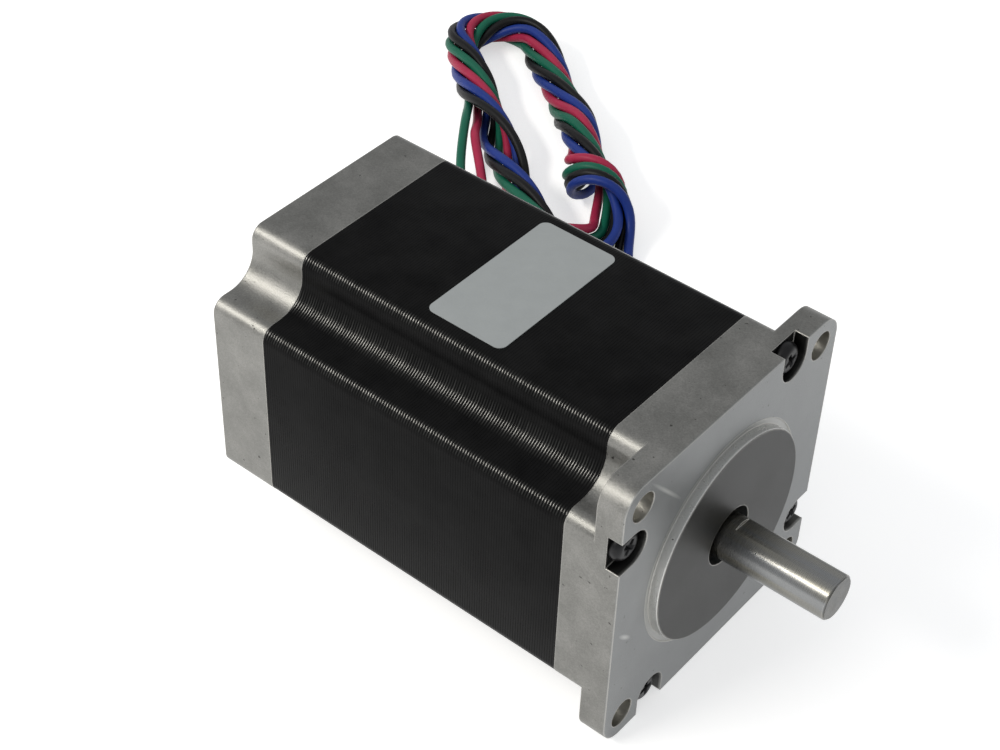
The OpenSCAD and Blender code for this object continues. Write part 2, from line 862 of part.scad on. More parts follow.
// point and outward normal of the centre line, t along piece i of the belt
function belt_at(i, t) =
  let (n = normals[floor(i / 2)], c = belt[floor(i / 2)], d = belt[(floor(i / 2) + 1) % 3])
  i % 2 == 0
    ? [c[0] + c[1] * n + [n[1], -n[0]] * t, n]
    : let (a = heading(n) - t / d[1] * 180 / PI) [d[0] + d[1] * polar(1, a), polar(1, a)];

function belt_search(s, i) =
  s <= lengths[i] || i == 5 ? belt_at(i, s) : belt_search(s - lengths[i], i + 1);
function on_loop(s) = s - loop * floor(s / loop);
function centre(s) = belt_search(on_loop(s), 0);

// height of the bundle's centre over the floor: higher where the wrap passes under it
function height(s) =
  let (t = on_loop(s),
       up = t < corner ? smooth((t - corner + raise_before) / raise_length) : 1,
       after = t < loop / 4 ? t + loop - corner : t - corner,
       down = (t < loop / 4 || t > corner) ? 1 - smooth((after - lower_after) / lower_length) : 1)
  low_height + (high_height - low_height) * (t < loop / 4 ? down : min(up, down));

// eight places at equal distances round the lay's oval, by halving steps along it
oval_steps = 720;
start_angle = entry_angle + 360 * twists * first_entry / loop;
function oval_point(a) = [lay_long * cos(a), lay_short * sin(a)];
oval_run = [for (i = 0, run = 0; i <= oval_steps; i = i + 1,
            run = run + norm(oval_point(i * 360 / oval_steps)
                             - oval_point((i - 1) * 360 / oval_steps))) run];
function oval_angle(share) =
  lookup(share * oval_run[oval_steps],
         [for (i = [0 : oval_steps]) [oval_run[i], i * 360 / oval_steps]]);
start_share = wrap_turn(start_angle) / 360;
slots = [for (i = [0 : 7]) oval_angle(start_share + i / 8 - floor(start_share + i / 8))];

// offset of lead k from the centre line: outward, up
function lay(s, k) =
  let (t = -360 * twists * s / loop, q = oval_point(slots[k % 8]))
  [q[0] * cos(t) - q[1] * sin(t), q[0] * sin(t) + q[1] * cos(t)];

function at(c, out, h, o) = [c[0] + out[0] * o[0], c[1] + out[1] * o[0], floor_z + h + o[1]];

// the wrap on the last pass

wrap_start = corner - wrap_before;
wind_start = wrap_start + wind_start_share * lift_length;
turn_rate = 360 / wrap_pitch;
extra_rate = turn_rate - 360 * twists / loop;
function winding(q) =
  let (a = q - wind_start)
  a <= 0 ? 0 : a < wrap_ramp ? extra_rate * a * a / (2 * wrap_ramp)
                             : extra_rate * (a - wrap_ramp / 2);
function lay_angle(q, k) = heading(lay(q + loop, k)) - winding(q);
corner_at = belt_at(4, lengths[4]);
corner_way = [corner_at[1][1], -corner_at[1][0]];
function straight_on(q) = corner_at[0] + corner_way * (q - corner);

function in_ring(s, k) =
  s <= loop + wrap_start
    ? let (c = centre(s)) at(c[0], c[1], height(s), lay(s, k))
    : let (q = s - loop, o = lay(s, k),
           r = blend(norm(o), wrap_radius, smooth((q - wrap_start) / lift_length)),
           p = q <= corner ? centre(q)[0] : straight_on(q),
           n = q <= corner ? centre(q)[1] : corner_at[1],
           h = q <= corner ? height(q) : high_height)
      at(p, n, h, polar(r, lay_angle(q, k)));

// the leads' tucked ends, under the ring's corner

function tail_goal(k) = [row_pitch * (k - 1.5), -wrap_radius];
function tail_start(k) =
  let (stop = corner - wind_before,
       gap = lay_angle(stop, k) - heading(tail_goal(k)) - turn_rate * tail_ease,
       short = wrap_turn(gap + 180) - 180)
  stop + short / turn_rate;
function in_tail(q, k) =
  let (x = q - tail_start(k),
       a = lay_angle(tail_start(k), k) - turn_rate * tail_ease * (1 - exp(-x / tail_ease)),
       r = blend(wrap_radius, norm(tail_goal(k)), smooth(x / tail_settle)),
       o = polar(r, a))
  at(straight_on(q), corner_at[1], high_height, [o[0], max(o[1], lead_radius - high_height)]);

// the leads' ways into the ring

function entry(k) = first_entry + (k - (k > 1 ? 8 : 0)) * loop / twists / 8;
function way_in(k) =
  let (n = centre(entry(k))[1])
  unit([n[1] - n[0] * lean_out_share, -n[0] - n[1] * lean_out_share, -lean_up_share]);
function wound(s, k) =
  let (e = entry(k))
  s - loop >= tail_start(k) ? in_tail(s - loop, k)
  : s >= e + way_in_after ? in_ring(s, k)
  : blend(in_ring(e, k) + way_in(k) * (s - e), in_ring(s, k),
          smooth((s - e + way_in_before) / (way_in_before + way_in_after)));

function coil_start_s(k) = entry(k) - way_in_before - way_in_straight;
function even_steps(a, b, step) =
  let (n = ceil((b - a) / step)) [for (i = [0 : n - 1]) a + (b - a) * i / n];
function coil_stations(k) =
  let (a = coil_start_s(k), b = loop + wind_start, c = loop + corner + tail_length)
  concat([a, a + way_in_straight], even_steps(a + 2 * way_in_straight, b, step_rope),
         even_steps(b, c, step_wrap), [c]);
function coil_points(k) = [for (s = coil_stations(k)) wound(s, k)];

// a smooth line through hand-set points
function spline(p, n) = [
  for (i = [0 : len(p) - 2], j = [0 : n - 1])
    let (t = j / n,
         a = i > 0 ? p[i - 1] : 2 * p[0] - p[1],
         d = i < len(p) - 2 ? p[i + 2] : 2 * p[i + 1] - p[i],
         b = p[i], c = p[i + 1])
    (2 * b + (c - a) * t + (2 * a - 5 * b + 4 * c - d) * t * t
     + (3 * b - 3 * c + d - a) * t * t * t) / 2,
  p[len(p) - 1]
];
function free_points(route, k) =
  let (c = wound(coil_start_s(k), k))
  spline(concat(route, [c - way_in(k) * route_end, c]), free_step_count);

// sweeping a tube along a line of points

function direction(p, i) =
  unit(i == 0 ? p[1] - p[0] : i == len(p) - 1 ? p[i] - p[i - 1] : p[i + 1] - p[i - 1]);
function carry(n, t) = unit(n - (n * t) * t);
function frames(p) =
  [for (i = 0, n = carry([0.3, 0.2, 1], direction(p, 0)); i < len(p); i = i + 1,
        n = i < len(p) ? carry(n, direction(p, i)) : n) n];

module tube(p, r, sides) {
  f = frames(p);
  last = len(p) - 1;
  points = [for (i = [0 : last])
            let (t = direction(p, i), n = f[i], b = cross(t, n))
            for (k = [0 : sides - 1])
              p[i] + r * (n * cos(360 * k / sides) + b * sin(360 * k / sides))];
  walls = [for (i = [0 : last - 1], k = [0 : sides - 1])
           let (m = (k + 1) % sides)
           each [[i * sides + k, (i + 1) * sides + k, (i + 1) * sides + m],
                 [i * sides + k, (i + 1) * sides + m, i * sides + m]]];
  start = [[for (k = [0 : sides - 1]) k]];
  end = [[for (k = [sides - 1 : -1 : 0]) last * sides + k]];
  polyhedron(points, concat(walls, start, end));
}

coil_sides = 6;
free_sides = 8;
red = 0;
green = 1;
black = 2;
blue = 3;

// least distance between two turns of one lead, less its diameter
self_gap_span = 12;
function self_gap(p) =
  min([for (i = [0 : len(p) - 1], j = [i + 1 : len(p) - 1])
       if (j - i > self_gap_span) norm(p[i] - p[j])]) - lead_diameter;
echo(least_gap_of_each_lead_to_itself = [for (k = [red, green, black, blue])
                                         self_gap(coil_points(k))]);

module red_lead() {
  color([0.68, 0.16, 0.28]) tube(free_points(red_route, red), lead_radius, free_sides);
}

module green_lead() {
  color([0.05, 0.4, 0.28]) tube(free_points(green_route, green), lead_radius, free_sides);
}

module black_lead() {
  color([0.08, 0.08, 0.09]) tube(free_points(black_route, black), lead_radius, free_sides);
}

module blue_lead() {
  color([0.1, 0.18, 0.5]) tube(free_points(blue_route, blue), lead_radius, free_sides);
}

module red_lead_coil() {
  color([0.68, 0.16, 0.28]) tube(coil_points(red), lead_radius, coil_sides);
}

module green_lead_coil() {
  color([0.05, 0.4, 0.28]) tube(coil_points(green), lead_radius, coil_sides);
}

module black_lead_coil() {
  color([0.08, 0.08, 0.09]) tube(coil_points(black), lead_radius, coil_sides);
}

module blue_lead_coil() {
  color([0.1, 0.18, 0.5]) tube(coil_points(blue), lead_radius, coil_sides);
}

front_end_cap();
rear_end_cap();
stator_stack();
front_winding_insulator();
rear_winding_insulator();
phase_a_windings();
phase_b_windings();
assembly_screws();
front_bearing_outer_race();
front_bearing_shields();
rear_bearing_outer_race();
rear_bearing_shields();
wave_spring();
lead_grommet();
lead_splice_sleeves();
rating_label();
motor_shaft();
rotor_cup_1();
rotor_cup_2();
rotor_cup_3();
rotor_cup_4();
rotor_magnet_1();
rotor_magnet_2();
rotor_spacer();
front_bearing_inner_race();
rear_bearing_inner_race();
front_bearing_balls();
front_bearing_cage();
rear_bearing_balls();
rear_bearing_cage();
red_lead();
green_lead();
black_lead();
blue_lead();
red_lead_coil();
green_lead_coil();
black_lead_coil();
blue_lead_coil();
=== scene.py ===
# %% [markdown]
# # A square-framed stepper motor
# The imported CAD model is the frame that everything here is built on, in metres: +X runs out
# along the shaft, +Z is up, and the motor lies on its -Z side. This lesson adds the camera,
# the four leads, the sheets of the stator, the screw heads, the wound coils and every finish.

# %% load the frame
import json
import math

import bmesh
import bpy
from mathutils import Matrix, Vector


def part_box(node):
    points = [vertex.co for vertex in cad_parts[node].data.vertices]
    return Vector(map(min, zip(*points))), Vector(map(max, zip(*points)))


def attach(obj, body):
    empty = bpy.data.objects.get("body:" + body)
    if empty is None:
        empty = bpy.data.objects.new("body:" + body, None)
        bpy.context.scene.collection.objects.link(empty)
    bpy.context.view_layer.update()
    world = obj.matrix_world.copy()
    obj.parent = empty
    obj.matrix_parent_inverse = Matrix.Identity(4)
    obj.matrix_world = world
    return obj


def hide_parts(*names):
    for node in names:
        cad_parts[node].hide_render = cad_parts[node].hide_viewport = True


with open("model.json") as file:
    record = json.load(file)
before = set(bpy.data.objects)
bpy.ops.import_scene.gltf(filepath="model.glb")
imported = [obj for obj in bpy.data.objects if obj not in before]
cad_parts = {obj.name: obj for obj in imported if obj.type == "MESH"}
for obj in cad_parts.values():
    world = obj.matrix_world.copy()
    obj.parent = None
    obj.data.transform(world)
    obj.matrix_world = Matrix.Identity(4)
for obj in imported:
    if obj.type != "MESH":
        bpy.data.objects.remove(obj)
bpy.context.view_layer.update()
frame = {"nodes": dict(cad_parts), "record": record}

MM = 0.001

# %% [markdown]
# ## The camera
# A camera is fitted before anything is modelled.
# Its place and its three directions come from the straight edges of the square body, so the
# render and the photograph can be laid over each other. The lens is a short telephoto one.

# %% camera
camera_spot = Vector((108.792, -197.464, 231.964)) * MM
look_right = Vector((0.7715, 0.6357, 0.0281)).normalized()
look_ahead = Vector((-0.4579, 0.5852, -0.6692)).normalized()
look_up = look_right.cross(look_ahead).normalized()
look_right = look_ahead.cross(look_up)
sensor_mm, lens_mm, nearest = 36, 72.503, 0.01
bpy.ops.object.select_all(action="DESELECT")
bpy.ops.object.camera_add()
camera = bpy.context.object
camera.name = "camera"
camera.matrix_world = Matrix.Translation(camera_spot) @ Matrix(
    (look_right, look_up, -look_ahead)).transposed().to_4x4()
camera.data.sensor_width = sensor_mm
camera.data.lens = lens_mm
camera.data.clip_start = nearest
bpy.context.scene.camera = camera
print("camera at", [round(v, 4) for v in camera.matrix_world.translation])

# %% [markdown]
# ## The leads
# Four soft insulated leads come out of a grommet on the far side, bend down to the floor and
# join a ring: they are twisted together, laid twice round one loop, and the last stretch is
# wrapped round the bundle to hold it. A simulation would tangle such a rope, so each lead is
# a tube whose points follow the rope's own rule, in millimetres: a centre line on the floor,
# eight places on an oval that turns along it, and a wrap at the end.

# %% the ring's centre line, a belt round three circles on the floor
floor_z = -28.2
lead_width = 1.9
lead_radius = lead_width / 2
pressed_radius = 1.02  # where turns press on each other, the soft insulation is wider
belt = [(Vector((-84, 70.5)), 7), (Vector((-138.3, 113.5)), 9), (Vector((-137, 61)), 50)]


def smooth(t):
    """A soft step from 0 to 1 while t goes from 0 to 1."""
    t = min(max(t, 0), 1)
    return t * t * (3 - 2 * t)


def heading(v):
    """The angle of an arrow, in degrees."""
    return math.degrees(math.atan2(v[1], v[0]))


def polar(r, angle):
    """The arrow with that length and angle."""
    return Vector((r * math.cos(math.radians(angle)), r * math.sin(math.radians(angle))))


def straight_normal(i):
    """Outward normal of the straight from one circle of the belt to the next."""
    (a, a_radius), (b, b_radius) = belt[i], belt[(i + 1) % 3]
    gap = b - a
    lean = (a_radius - b_radius) / gap.length
    ahead = gap.normalized()
    return lean * ahead + math.sqrt(1 - lean * lean) * Vector((-ahead.y, ahead.x))


normals = [straight_normal(i) for i in range(3)]
lengths = []
for i in range(3):
    (a, a_radius), (b, b_radius) = belt[i], belt[(i + 1) % 3]
    n, next_n = normals[i], normals[(i + 1) % 3]
    lengths.append((b + b_radius * n - a - a_radius * n).length)
    lengths.append(b_radius * math.radians((heading(n) - heading(next_n)) % 360))
loop = sum(lengths)
corner = loop - lengths[5]


def belt_at(i, t):
    """Point and outward normal, t along piece i of the belt."""
    n = normals[i // 2]
    if i % 2 == 0:
        middle, radius = belt[i // 2]
        return middle + radius * n + Vector((n.y, -n.x)) * t, n
    middle, radius = belt[(i // 2 + 1) % 3]
    out = polar(1, heading(n) - math.degrees(t / radius))
    return middle + radius * out, out


def centre(s):
    """Point and outward normal of the centre line, s along it."""
    s, i = s % loop, 0
    while s > lengths[i] and i < 5:
        s, i = s - lengths[i], i + 1
    return belt_at(i, s)


print("one loop of the ring is", round(loop, 1), "mm long")

# %% the rope's lay: eight places on an oval that turns along the centre line
lay_long, lay_short = 1.842 * lead_width, 1.368 * lead_width
place_count, twists, first_entry, entry_angle = 8, 3.5, 43.5, -30
wrap_clearance = 0.43
wrap_radius = lay_long + lead_width + wrap_clearance
low_height, high_height = lead_radius + lay_long, lead_radius + wrap_radius
oval_steps = 720


def oval_point(angle):
    return Vector((lay_long * math.cos(math.radians(angle)),
                   lay_short * math.sin(math.radians(angle))))


oval_run = [0]
for i in range(oval_steps):
    step = oval_point((i + 1) * 360 / oval_steps) - oval_point(i * 360 / oval_steps)
    oval_run.append(oval_run[-1] + step.length)


def oval_angle(share):
    """The angle up to which a share of the oval's length has been run."""
    goal = share * oval_run[-1]
    i = next(i for i in range(1, oval_steps + 1) if oval_run[i] >= goal)
    part = (goal - oval_run[i - 1]) / (oval_run[i] - oval_run[i - 1])
    return (i - 1 + part) * 360 / oval_steps


start_share = ((entry_angle + 360 * twists * first_entry / loop) % 360) / 360
place_angles = [oval_angle((start_share + i / place_count) % 1) for i in range(place_count)]


def lay(s, k):
    """Offset of lead k from the centre line: outward, up."""
    turn = math.radians(-360 * twists * s / loop)
    q = oval_point(place_angles[k % place_count])
    return Vector((q.x * math.cos(turn) - q.y * math.sin(turn),
                   q.x * math.sin(turn) + q.y * math.cos(turn)))


rise_before, rise_length, fall_after, fall_length = 46, 16, 11, 18


def height(s):
    """Height of the bundle over the floor: higher where the wrap passes under it."""
    t = s % loop
    up = smooth((t - corner + rise_before) / rise_length) if t < corner else 1
    after = t + loop - corner if t < loop / 4 else t - corner
    down = 1 - smooth((after - fall_after) / fall_length) if t < loop / 4 or t > corner else 1
    return low_height + (high_height - low_height) * (down if t < loop / 4 else min(up, down))


def at(point, out, h, offset):
    """A place in the room: h over the floor, and the offset outward and up from there."""
    return Vector((point.x + out.x * offset[0], point.y + out.y * offset[0],
                   floor_z + h + offset[1]))


print("places on the oval, in degrees", [round(a) for a in place_angles])

# %% the wrap that holds the ring, and the tucked ends
wrap_start, lift_length, wrap_ramp, wrap_pitch = corner - 25, 10, 5, 20
wind_start, wind_stop = wrap_start + 0.6 * lift_length, corner - 4
tail_ease, tail_settle, tail_row = 4.5, 14, 2.15
turn_rate = 360 / wrap_pitch
extra_rate = turn_rate - 360 * twists / loop
corner_point, corner_out = belt_at(4, lengths[4])
corner_way = Vector((corner_out.y, -corner_out.x))


def winding(q):
    """How far the wrap has turned round the bundle at q, in degrees."""
    a = q - wind_start
    if a <= 0:
        return 0
    return extra_rate * (a * a / (2 * wrap_ramp) if a < wrap_ramp else a - wrap_ramp / 2)


def lay_angle(q, k):
    """Where round the bundle lead k is at q, in the last round."""
    return heading(lay(q + loop, k)) - winding(q)


def in_ring(s, k):
    """Where lead k is at s, in the ring and in the wrap."""
    q = s - loop
    if q <= wrap_start:
        point, out = centre(s)
        return at(point, out, height(s), lay(s, k))
    share = smooth((q - wrap_start) / lift_length)
    radius = lay(s, k).length * (1 - share) + wrap_radius * share
    point, out = centre(q) if q <= corner else (
        corner_point + corner_way * (q - corner), corner_out)
    return at(point, out, height(q) if q <= corner else high_height,
              polar(radius, lay_angle(q, k)))


def tail_goal(k):
    """Where the end of lead k is tucked: in a row of four, under the bundle."""
    return Vector((tail_row * (k - 1.5), -wrap_radius))


def tail_start(k):
    gap = lay_angle(wind_stop, k) - heading(tail_goal(k)) - turn_rate * tail_ease
    return wind_stop + ((gap + 180) % 360 - 180) / turn_rate


def in_tail(q, k):
    """Where lead k is at q, from the wrap to its tucked end."""
    x = q - tail_start(k)
    angle = lay_angle(tail_start(k), k) - turn_rate * tail_ease * (1 - math.exp(-x / tail_ease))
    share = smooth(x / tail_settle)
    offset = polar(wrap_radius * (1 - share) + tail_goal(k).length * share, angle)
    offset.y = max(offset.y, lead_radius - high_height)
    return at(corner_point + corner_way * (q - corner), corner_out, high_height, offset)


print("the wrap starts", round(corner - wrap_start), "mm before the ring's near corner")


# %% each lead's way from the grommet into the ring
slant_in, slant_down, join_before, join_after = 0.32, 0.33, 4, 5


def entry(k):
    """Where along the ring lead k joins it."""
    earlier = place_count if k > 1 else 0
    return first_entry + (k - earlier) * loop / twists / place_count


def way_in(k):
    """The direction in which lead k comes: along the ring, slanting inward and down."""
    out = centre(entry(k))[1]
    return Vector((out.y - out.x * slant_in, -out.x - out.y * slant_in,
                   -slant_down)).normalized()


def wound(s, k):
    """The place of lead k at s, from its way into the ring to its tucked end."""
    e = entry(k)
    if s - loop >= tail_start(k):
        return in_tail(s - loop, k)
    if s >= e + join_after:
        return in_ring(s, k)
    share = smooth((s - e + join_before) / (join_before + join_after))
    return (in_ring(e, k) + way_in(k) * (s - e)) * (1 - share) + in_ring(s, k) * share


def spline(p, count):
    """A smooth line through given points."""
    line = []
    for i in range(len(p) - 1):
        before = p[i - 1] if i else 2 * p[0] - p[1]
        after = p[i + 2] if i < len(p) - 2 else 2 * p[i + 1] - p[i]
        b, c = p[i], p[i + 1]
        for j in range(count):
            t = j / count
            line.append((2 * b + (c - before) * t + (2 * before - 5 * b + 4 * c - after) * t * t
                         + (3 * b - 3 * c + after - before) * t * t * t) / 2)
    return line + [p[-1]]


routes = {
    "red": [(-77.8, 24.4, 1.2), (-77.8, 30, 1.2), (-77.5, 36, 1), (-78.7, 42.5, -2.5),
            (-82.5, 48, -10), (-88, 52.6, -17.8), (-94.5, 57.6, -24.2), (-101, 63.3, -26.7),
            (-107.5, 71, -24.8)],
    "green": [(-77.8, 24.4, 3.6), (-77.8, 30, 3.6), (-77.8, 37, 3.5), (-79.5, 44.5, -0.5),
              (-84.5, 49.5, -8), (-91, 54, -16), (-98, 58.4, -22.6), (-106.5, 63.7, -25.4),
              (-115, 71.6, -24)],
    "black": [(-77.8, 24.4, -3.6), (-77.8, 30, -3.6), (-77.5, 35, -4), (-76.5, 40, -7.5),
              (-76, 45.4, -13.4), (-77.7, 51.2, -19.2)],
    "blue": [(-77.8, 24.4, -1.2), (-77.8, 30, -1.2), (-77.5, 35, -1.5), (-77.5, 41, -4.5),
             (-79.6, 46.3, -11), (-84.8, 51.1, -17.6)],
}


run_in, run_out, point_gap, points_between = 6, 7, 0.9, 8
ring_rounds, free_rounds, kept_straight, eased_into_ring = 6, 24, 9, 12


def lead_line(colour):
    """All the points of one lead, in metres, with its sharpest bends eased a little."""
    k = list(routes).index(colour)
    first, last = entry(k) - run_in, loop + corner + run_out
    start = wound(first, k)
    by_hand = [Vector(p) for p in routes[colour]]
    free = spline(by_hand + [start - way_in(k) * run_in, start], points_between)
    count = math.ceil((last - first) / point_gap)
    line = free + [wound(first + (last - first) * (i + 1) / count, k) for i in range(count)]
    for rounds in range(free_rounds):
        end = len(line) if rounds < ring_rounds else len(free) + eased_into_ring
        line[kept_straight:end - 1] = [(line[i - 1] + 2 * line[i] + line[i + 1]) / 4
                                       for i in range(kept_straight, end - 1)]
    return [Vector((p.x, p.y, max(p.z, floor_z + pressed_radius))) * MM for p in line]


lead_lines = {colour: lead_line(colour) for colour in routes}
for colour, line in lead_lines.items():
    print(colour, "lead", round(sum((b - a).length for a, b in zip(line, line[1:])), 4), "m")

# %% [markdown]
# It stands for the two CAD solids of its colour. The tubes are a little thicker than 1.9 mm,
# because soft insulation flattens where the turns press on each other. At the cut end, seven
# copper strands show.

# %% helpers for meshes
def only(*objects):
    """Selects these objects alone and makes the last of them the active one."""
    bpy.ops.object.select_all(action="DESELECT")
    for o in objects:
        o.select_set(True)
    bpy.context.view_layer.objects.active = objects[-1]


def edit(obj):
    """Opens an object in edit mode, with nothing selected."""
    only(obj)
    bpy.ops.object.mode_set(mode="EDIT")
    bpy.ops.mesh.select_all(action="DESELECT")


def pick(kind, chosen):
    """Selects, in edit mode, the verts, edges or faces for which chosen() is true."""
    bpy.ops.mesh.select_all(action="DESELECT")
    bpy.ops.mesh.select_mode(type={"verts": "VERT", "edges": "EDGE", "faces": "FACE"}[kind])
    mesh = bmesh.from_edit_mesh(bpy.context.edit_object.data)
    for part in getattr(mesh, kind):
        part.select_set(bool(chosen(part)))
    mesh.select_flush_mode()
    bmesh.update_edit_mesh(bpy.context.edit_object.data)


def close(name, smooth_angle=None):
    """Turns every face outward, leaves edit mode and names the object."""
    bpy.ops.mesh.select_all(action="SELECT")
    bpy.ops.mesh.normals_make_consistent(inside=False)
    bpy.ops.object.mode_set(mode="OBJECT")
    made = bpy.context.object
    made.name = name
    if smooth_angle:
        bpy.ops.object.shade_smooth_by_angle(angle=math.radians(smooth_angle))
    return made


def applied(obj, kind, **settings):
    """Adds a modifier and applies it at once."""
    only(obj)
    step = obj.modifiers.new(kind.lower(), kind)
    for name, value in settings.items():
        setattr(step, name, value)
    bpy.ops.object.modifier_apply(modifier=step.name)


def copied(obj, turn=0, shift=(0, 0, 0)):
    """A copy with its own mesh, turned about the shaft and then moved."""
    copy = obj.copy()
    copy.data = obj.data.copy()
    bpy.context.scene.collection.objects.link(copy)
    copy.data.transform(Matrix.Translation(shift) @ Matrix.Rotation(math.radians(turn), 4, "X"))
    return copy


def joined(name, *objects):
    """One object out of several, under a new name."""
    only(*objects)
    bpy.ops.object.join()
    bpy.context.object.name = name
    return bpy.context.object


slot_pieces = {}


def hand_over(piece, body, slot, *replaced):
    slot_pieces.setdefault(slot, []).append(piece)
    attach(piece, body)
    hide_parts(*replaced)
    print(piece.name, len(piece.data.polygons), "faces, for", *replaced)


def thick_line(name, path, width, resolution):
    """A tube along a line of points in metres, as a mesh."""
    curve = bpy.data.curves.new(name, "CURVE")
    curve.dimensions = "3D"
    curve.bevel_depth = width / 2
    curve.bevel_resolution = resolution
    curve.use_fill_caps = True
    strand = curve.splines.new("POLY")
    strand.points.add(len(path) - 1)
    for point, spot in zip(strand.points, path):
        point.co = (*spot, 1)
    strand.use_smooth = True
    tube = bpy.data.objects.new(name, curve)
    bpy.context.scene.collection.objects.link(tube)
    only(tube)
    bpy.ops.object.convert(target="MESH")
    return bpy.context.object


# %% one copper strand
strand_radius, strand_length, strand_edge = 0.17 * MM, 1.4 * MM, 0.05 * MM
strand_count, strand_circle, strand_sunk, strand_uneven = 7, 0.36 * MM, 0.35 * MM, 0.06 * MM
bpy.ops.object.select_all(action="DESELECT")
bpy.ops.mesh.primitive_cylinder_add(vertices=10, radius=strand_radius, depth=strand_length)
copper_strand = bpy.context.object
edit(copper_strand)
pick("edges", lambda e: min(v.co.z for v in e.verts) > 0.4 * strand_length)
bpy.ops.mesh.bevel(offset=strand_edge, segments=2, affect="EDGES")
copper_strand = close("copper_strand", 40)


def cut_end(colour, line):
    """The copper strands that show at the cut end of a lead, one amid a circle of six."""
    toward = (line[-1] - line[-2]).to_track_quat("Z", "Y").to_matrix().to_4x4()
    strands = [copied(copper_strand) for i in range(strand_count)]
    for i, strand in enumerate(strands):
        aside = polar(strand_circle if i else 0, 60 * i)
        inset = Vector((aside.x, aside.y, -strand_sunk - i % 3 * strand_uneven))
        strand.data.transform(Matrix.Translation(line[-1]) @ toward @ Matrix.Translation(inset))
    return joined(f"{colour}_lead_strands", *strands)


print("a copper strand has", len(copper_strand.data.polygons), "faces")

# %% the four leads as cords
leads = {}
for colour, line in lead_lines.items():
    lead = thick_line(f"{colour}_lead_wire", line, 2 * pressed_radius * MM, 4)
    core = cut_end(colour, line)
    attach(core, "housing")
    slot_pieces.setdefault("copper_wire", []).append(core)
    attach(lead, "housing")
    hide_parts(f"{colour}_lead", f"{colour}_lead_coil")
    leads[colour] = lead
bpy.data.objects.remove(copper_strand)
print("leads", sorted(leads))

# %% [markdown]
# ## The stator's sheets
# The stator is a pile of 124 thin stamped sheets, glued and blackened. From outside only their
# rims show, as fine lines half a millimetre apart that catch the light on every rounded corner.
# A bump map would lose those lines at the edges, so the rims are real. One is cut from a square
# plane, extruded to one sheet's thickness and eased, and an array lays it 124 times along the
# shaft. The teeth inside keep the CAD's shape, whose outer wall is drawn in behind the rims.

# %% one sheet's rim
half, notch_wall = 28.2 * MM, 18.55 * MM
shoulder, fillet = 2.5 * MM, 5.45 * MM
stack_front, stack_rear = -10.6 * MM, -72.7 * MM
sheet_count = 124
pitch = (stack_front - stack_rear) / sheet_count
rim_depth, sheet_gap, eased_rim = 1.0 * MM, 0.012 * MM, 0.045 * MM
slack, hair = 0.1 * MM, 0.01 * MM

bpy.ops.object.select_all(action="DESELECT")
bpy.ops.mesh.primitive_plane_add(size=2 * half, location=(stack_front - sheet_gap / 2, 0, 0),
                                 rotation=(0, math.radians(90), 0))
rims = bpy.context.object
bpy.ops.object.transform_apply(location=True, rotation=True, scale=True)
edit(rims)
for normal in ((0, 1, 0), (0, 0, 1)):
    for side in (-1, 1):
        bpy.ops.mesh.select_all(action="SELECT")
        bpy.ops.mesh.bisect(plane_co=Vector(normal) * side * notch_wall, plane_no=normal)
pick("faces", lambda f: min(abs(f.calc_center_median().y),
                            abs(f.calc_center_median().z)) > notch_wall)
bpy.ops.mesh.delete(type="FACE")
bpy.ops.mesh.select_all(action="SELECT")
bpy.ops.mesh.dissolve_limited(angle_limit=0.02)
pick("verts", lambda v: max(abs(v.co.y), abs(v.co.z)) > half - slack)
bpy.ops.mesh.bevel(offset=shoulder, segments=4, affect="VERTICES")
pick("verts", lambda v: abs(abs(v.co.y) - abs(v.co.z)) < slack)
bpy.ops.mesh.bevel(offset=fillet, segments=5, affect="VERTICES")
outline = {(round(v.co.y, 6), round(v.co.z, 6))
           for v in bmesh.from_edit_mesh(rims.data).verts}
bpy.ops.mesh.select_all(action="SELECT")
bpy.ops.mesh.inset(thickness=rim_depth, use_boundary=True)
bpy.ops.mesh.delete(type="FACE")
bpy.ops.mesh.select_all(action="SELECT")
bpy.ops.mesh.extrude_region_move(
    TRANSFORM_OT_translate={"value": (sheet_gap - pitch, 0, 0)})
pick("edges", lambda e: abs(e.verts[0].co.x - e.verts[1].co.x) < hair and all(
    (round(v.co.y, 6), round(v.co.z, 6)) in outline for v in e.verts))
bpy.ops.mesh.bevel(offset=eased_rim, segments=1, affect="EDGES")
rims = close("rims", 50)
print("one rim has", len(outline), "corners and", len(rims.data.polygons), "faces")

# %% the pile of rims, and the teeth behind them
applied(rims, "ARRAY", count=sheet_count, use_relative_offset=False, use_constant_offset=True,
        constant_offset_displace=(-pitch, 0, 0))


bend, behind_rims = notch_wall + fillet, 0.986


def on_outer_wall(v):
    """Whether a vertex lies on one of the pile's flats, notches, shoulders or fillets."""
    far, near = sorted((abs(v.co.y), abs(v.co.z)), reverse=True)
    from_shoulder = math.hypot(far - half + shoulder, near - notch_wall + shoulder)
    return (far > half - slack or bend < far and near > notch_wall - slack
            or far > half - shoulder and from_shoulder > shoulder - slack
            or math.hypot(bend - far, bend - near) < fillet + 1.5 * slack)


teeth = copied(frame["nodes"]["stator_stack"])
teeth.data.materials.clear()
edit(teeth)
bpy.ops.mesh.select_all(action="SELECT")
bpy.ops.mesh.remove_doubles(threshold=2 * hair)
pick("verts", on_outer_wall)
bpy.ops.transform.resize(value=(1, behind_rims, behind_rims), center_override=(0, 0, 0))
teeth = close("teeth", 30)
laminations = joined("stator_laminations", teeth, rims)
hand_over(laminations, "housing", "black_laminations", "stator_stack")

# %% [markdown]
# ## The screws
# Four long pan-head screws hold the caps together. A head is turned and stamped: a low dome
# with a cross recess that narrows towards its bottom. The dome is a cylinder whose upper edge
# is rounded, and the recess is cut with a tapered cross, so its walls lean as a driver needs.

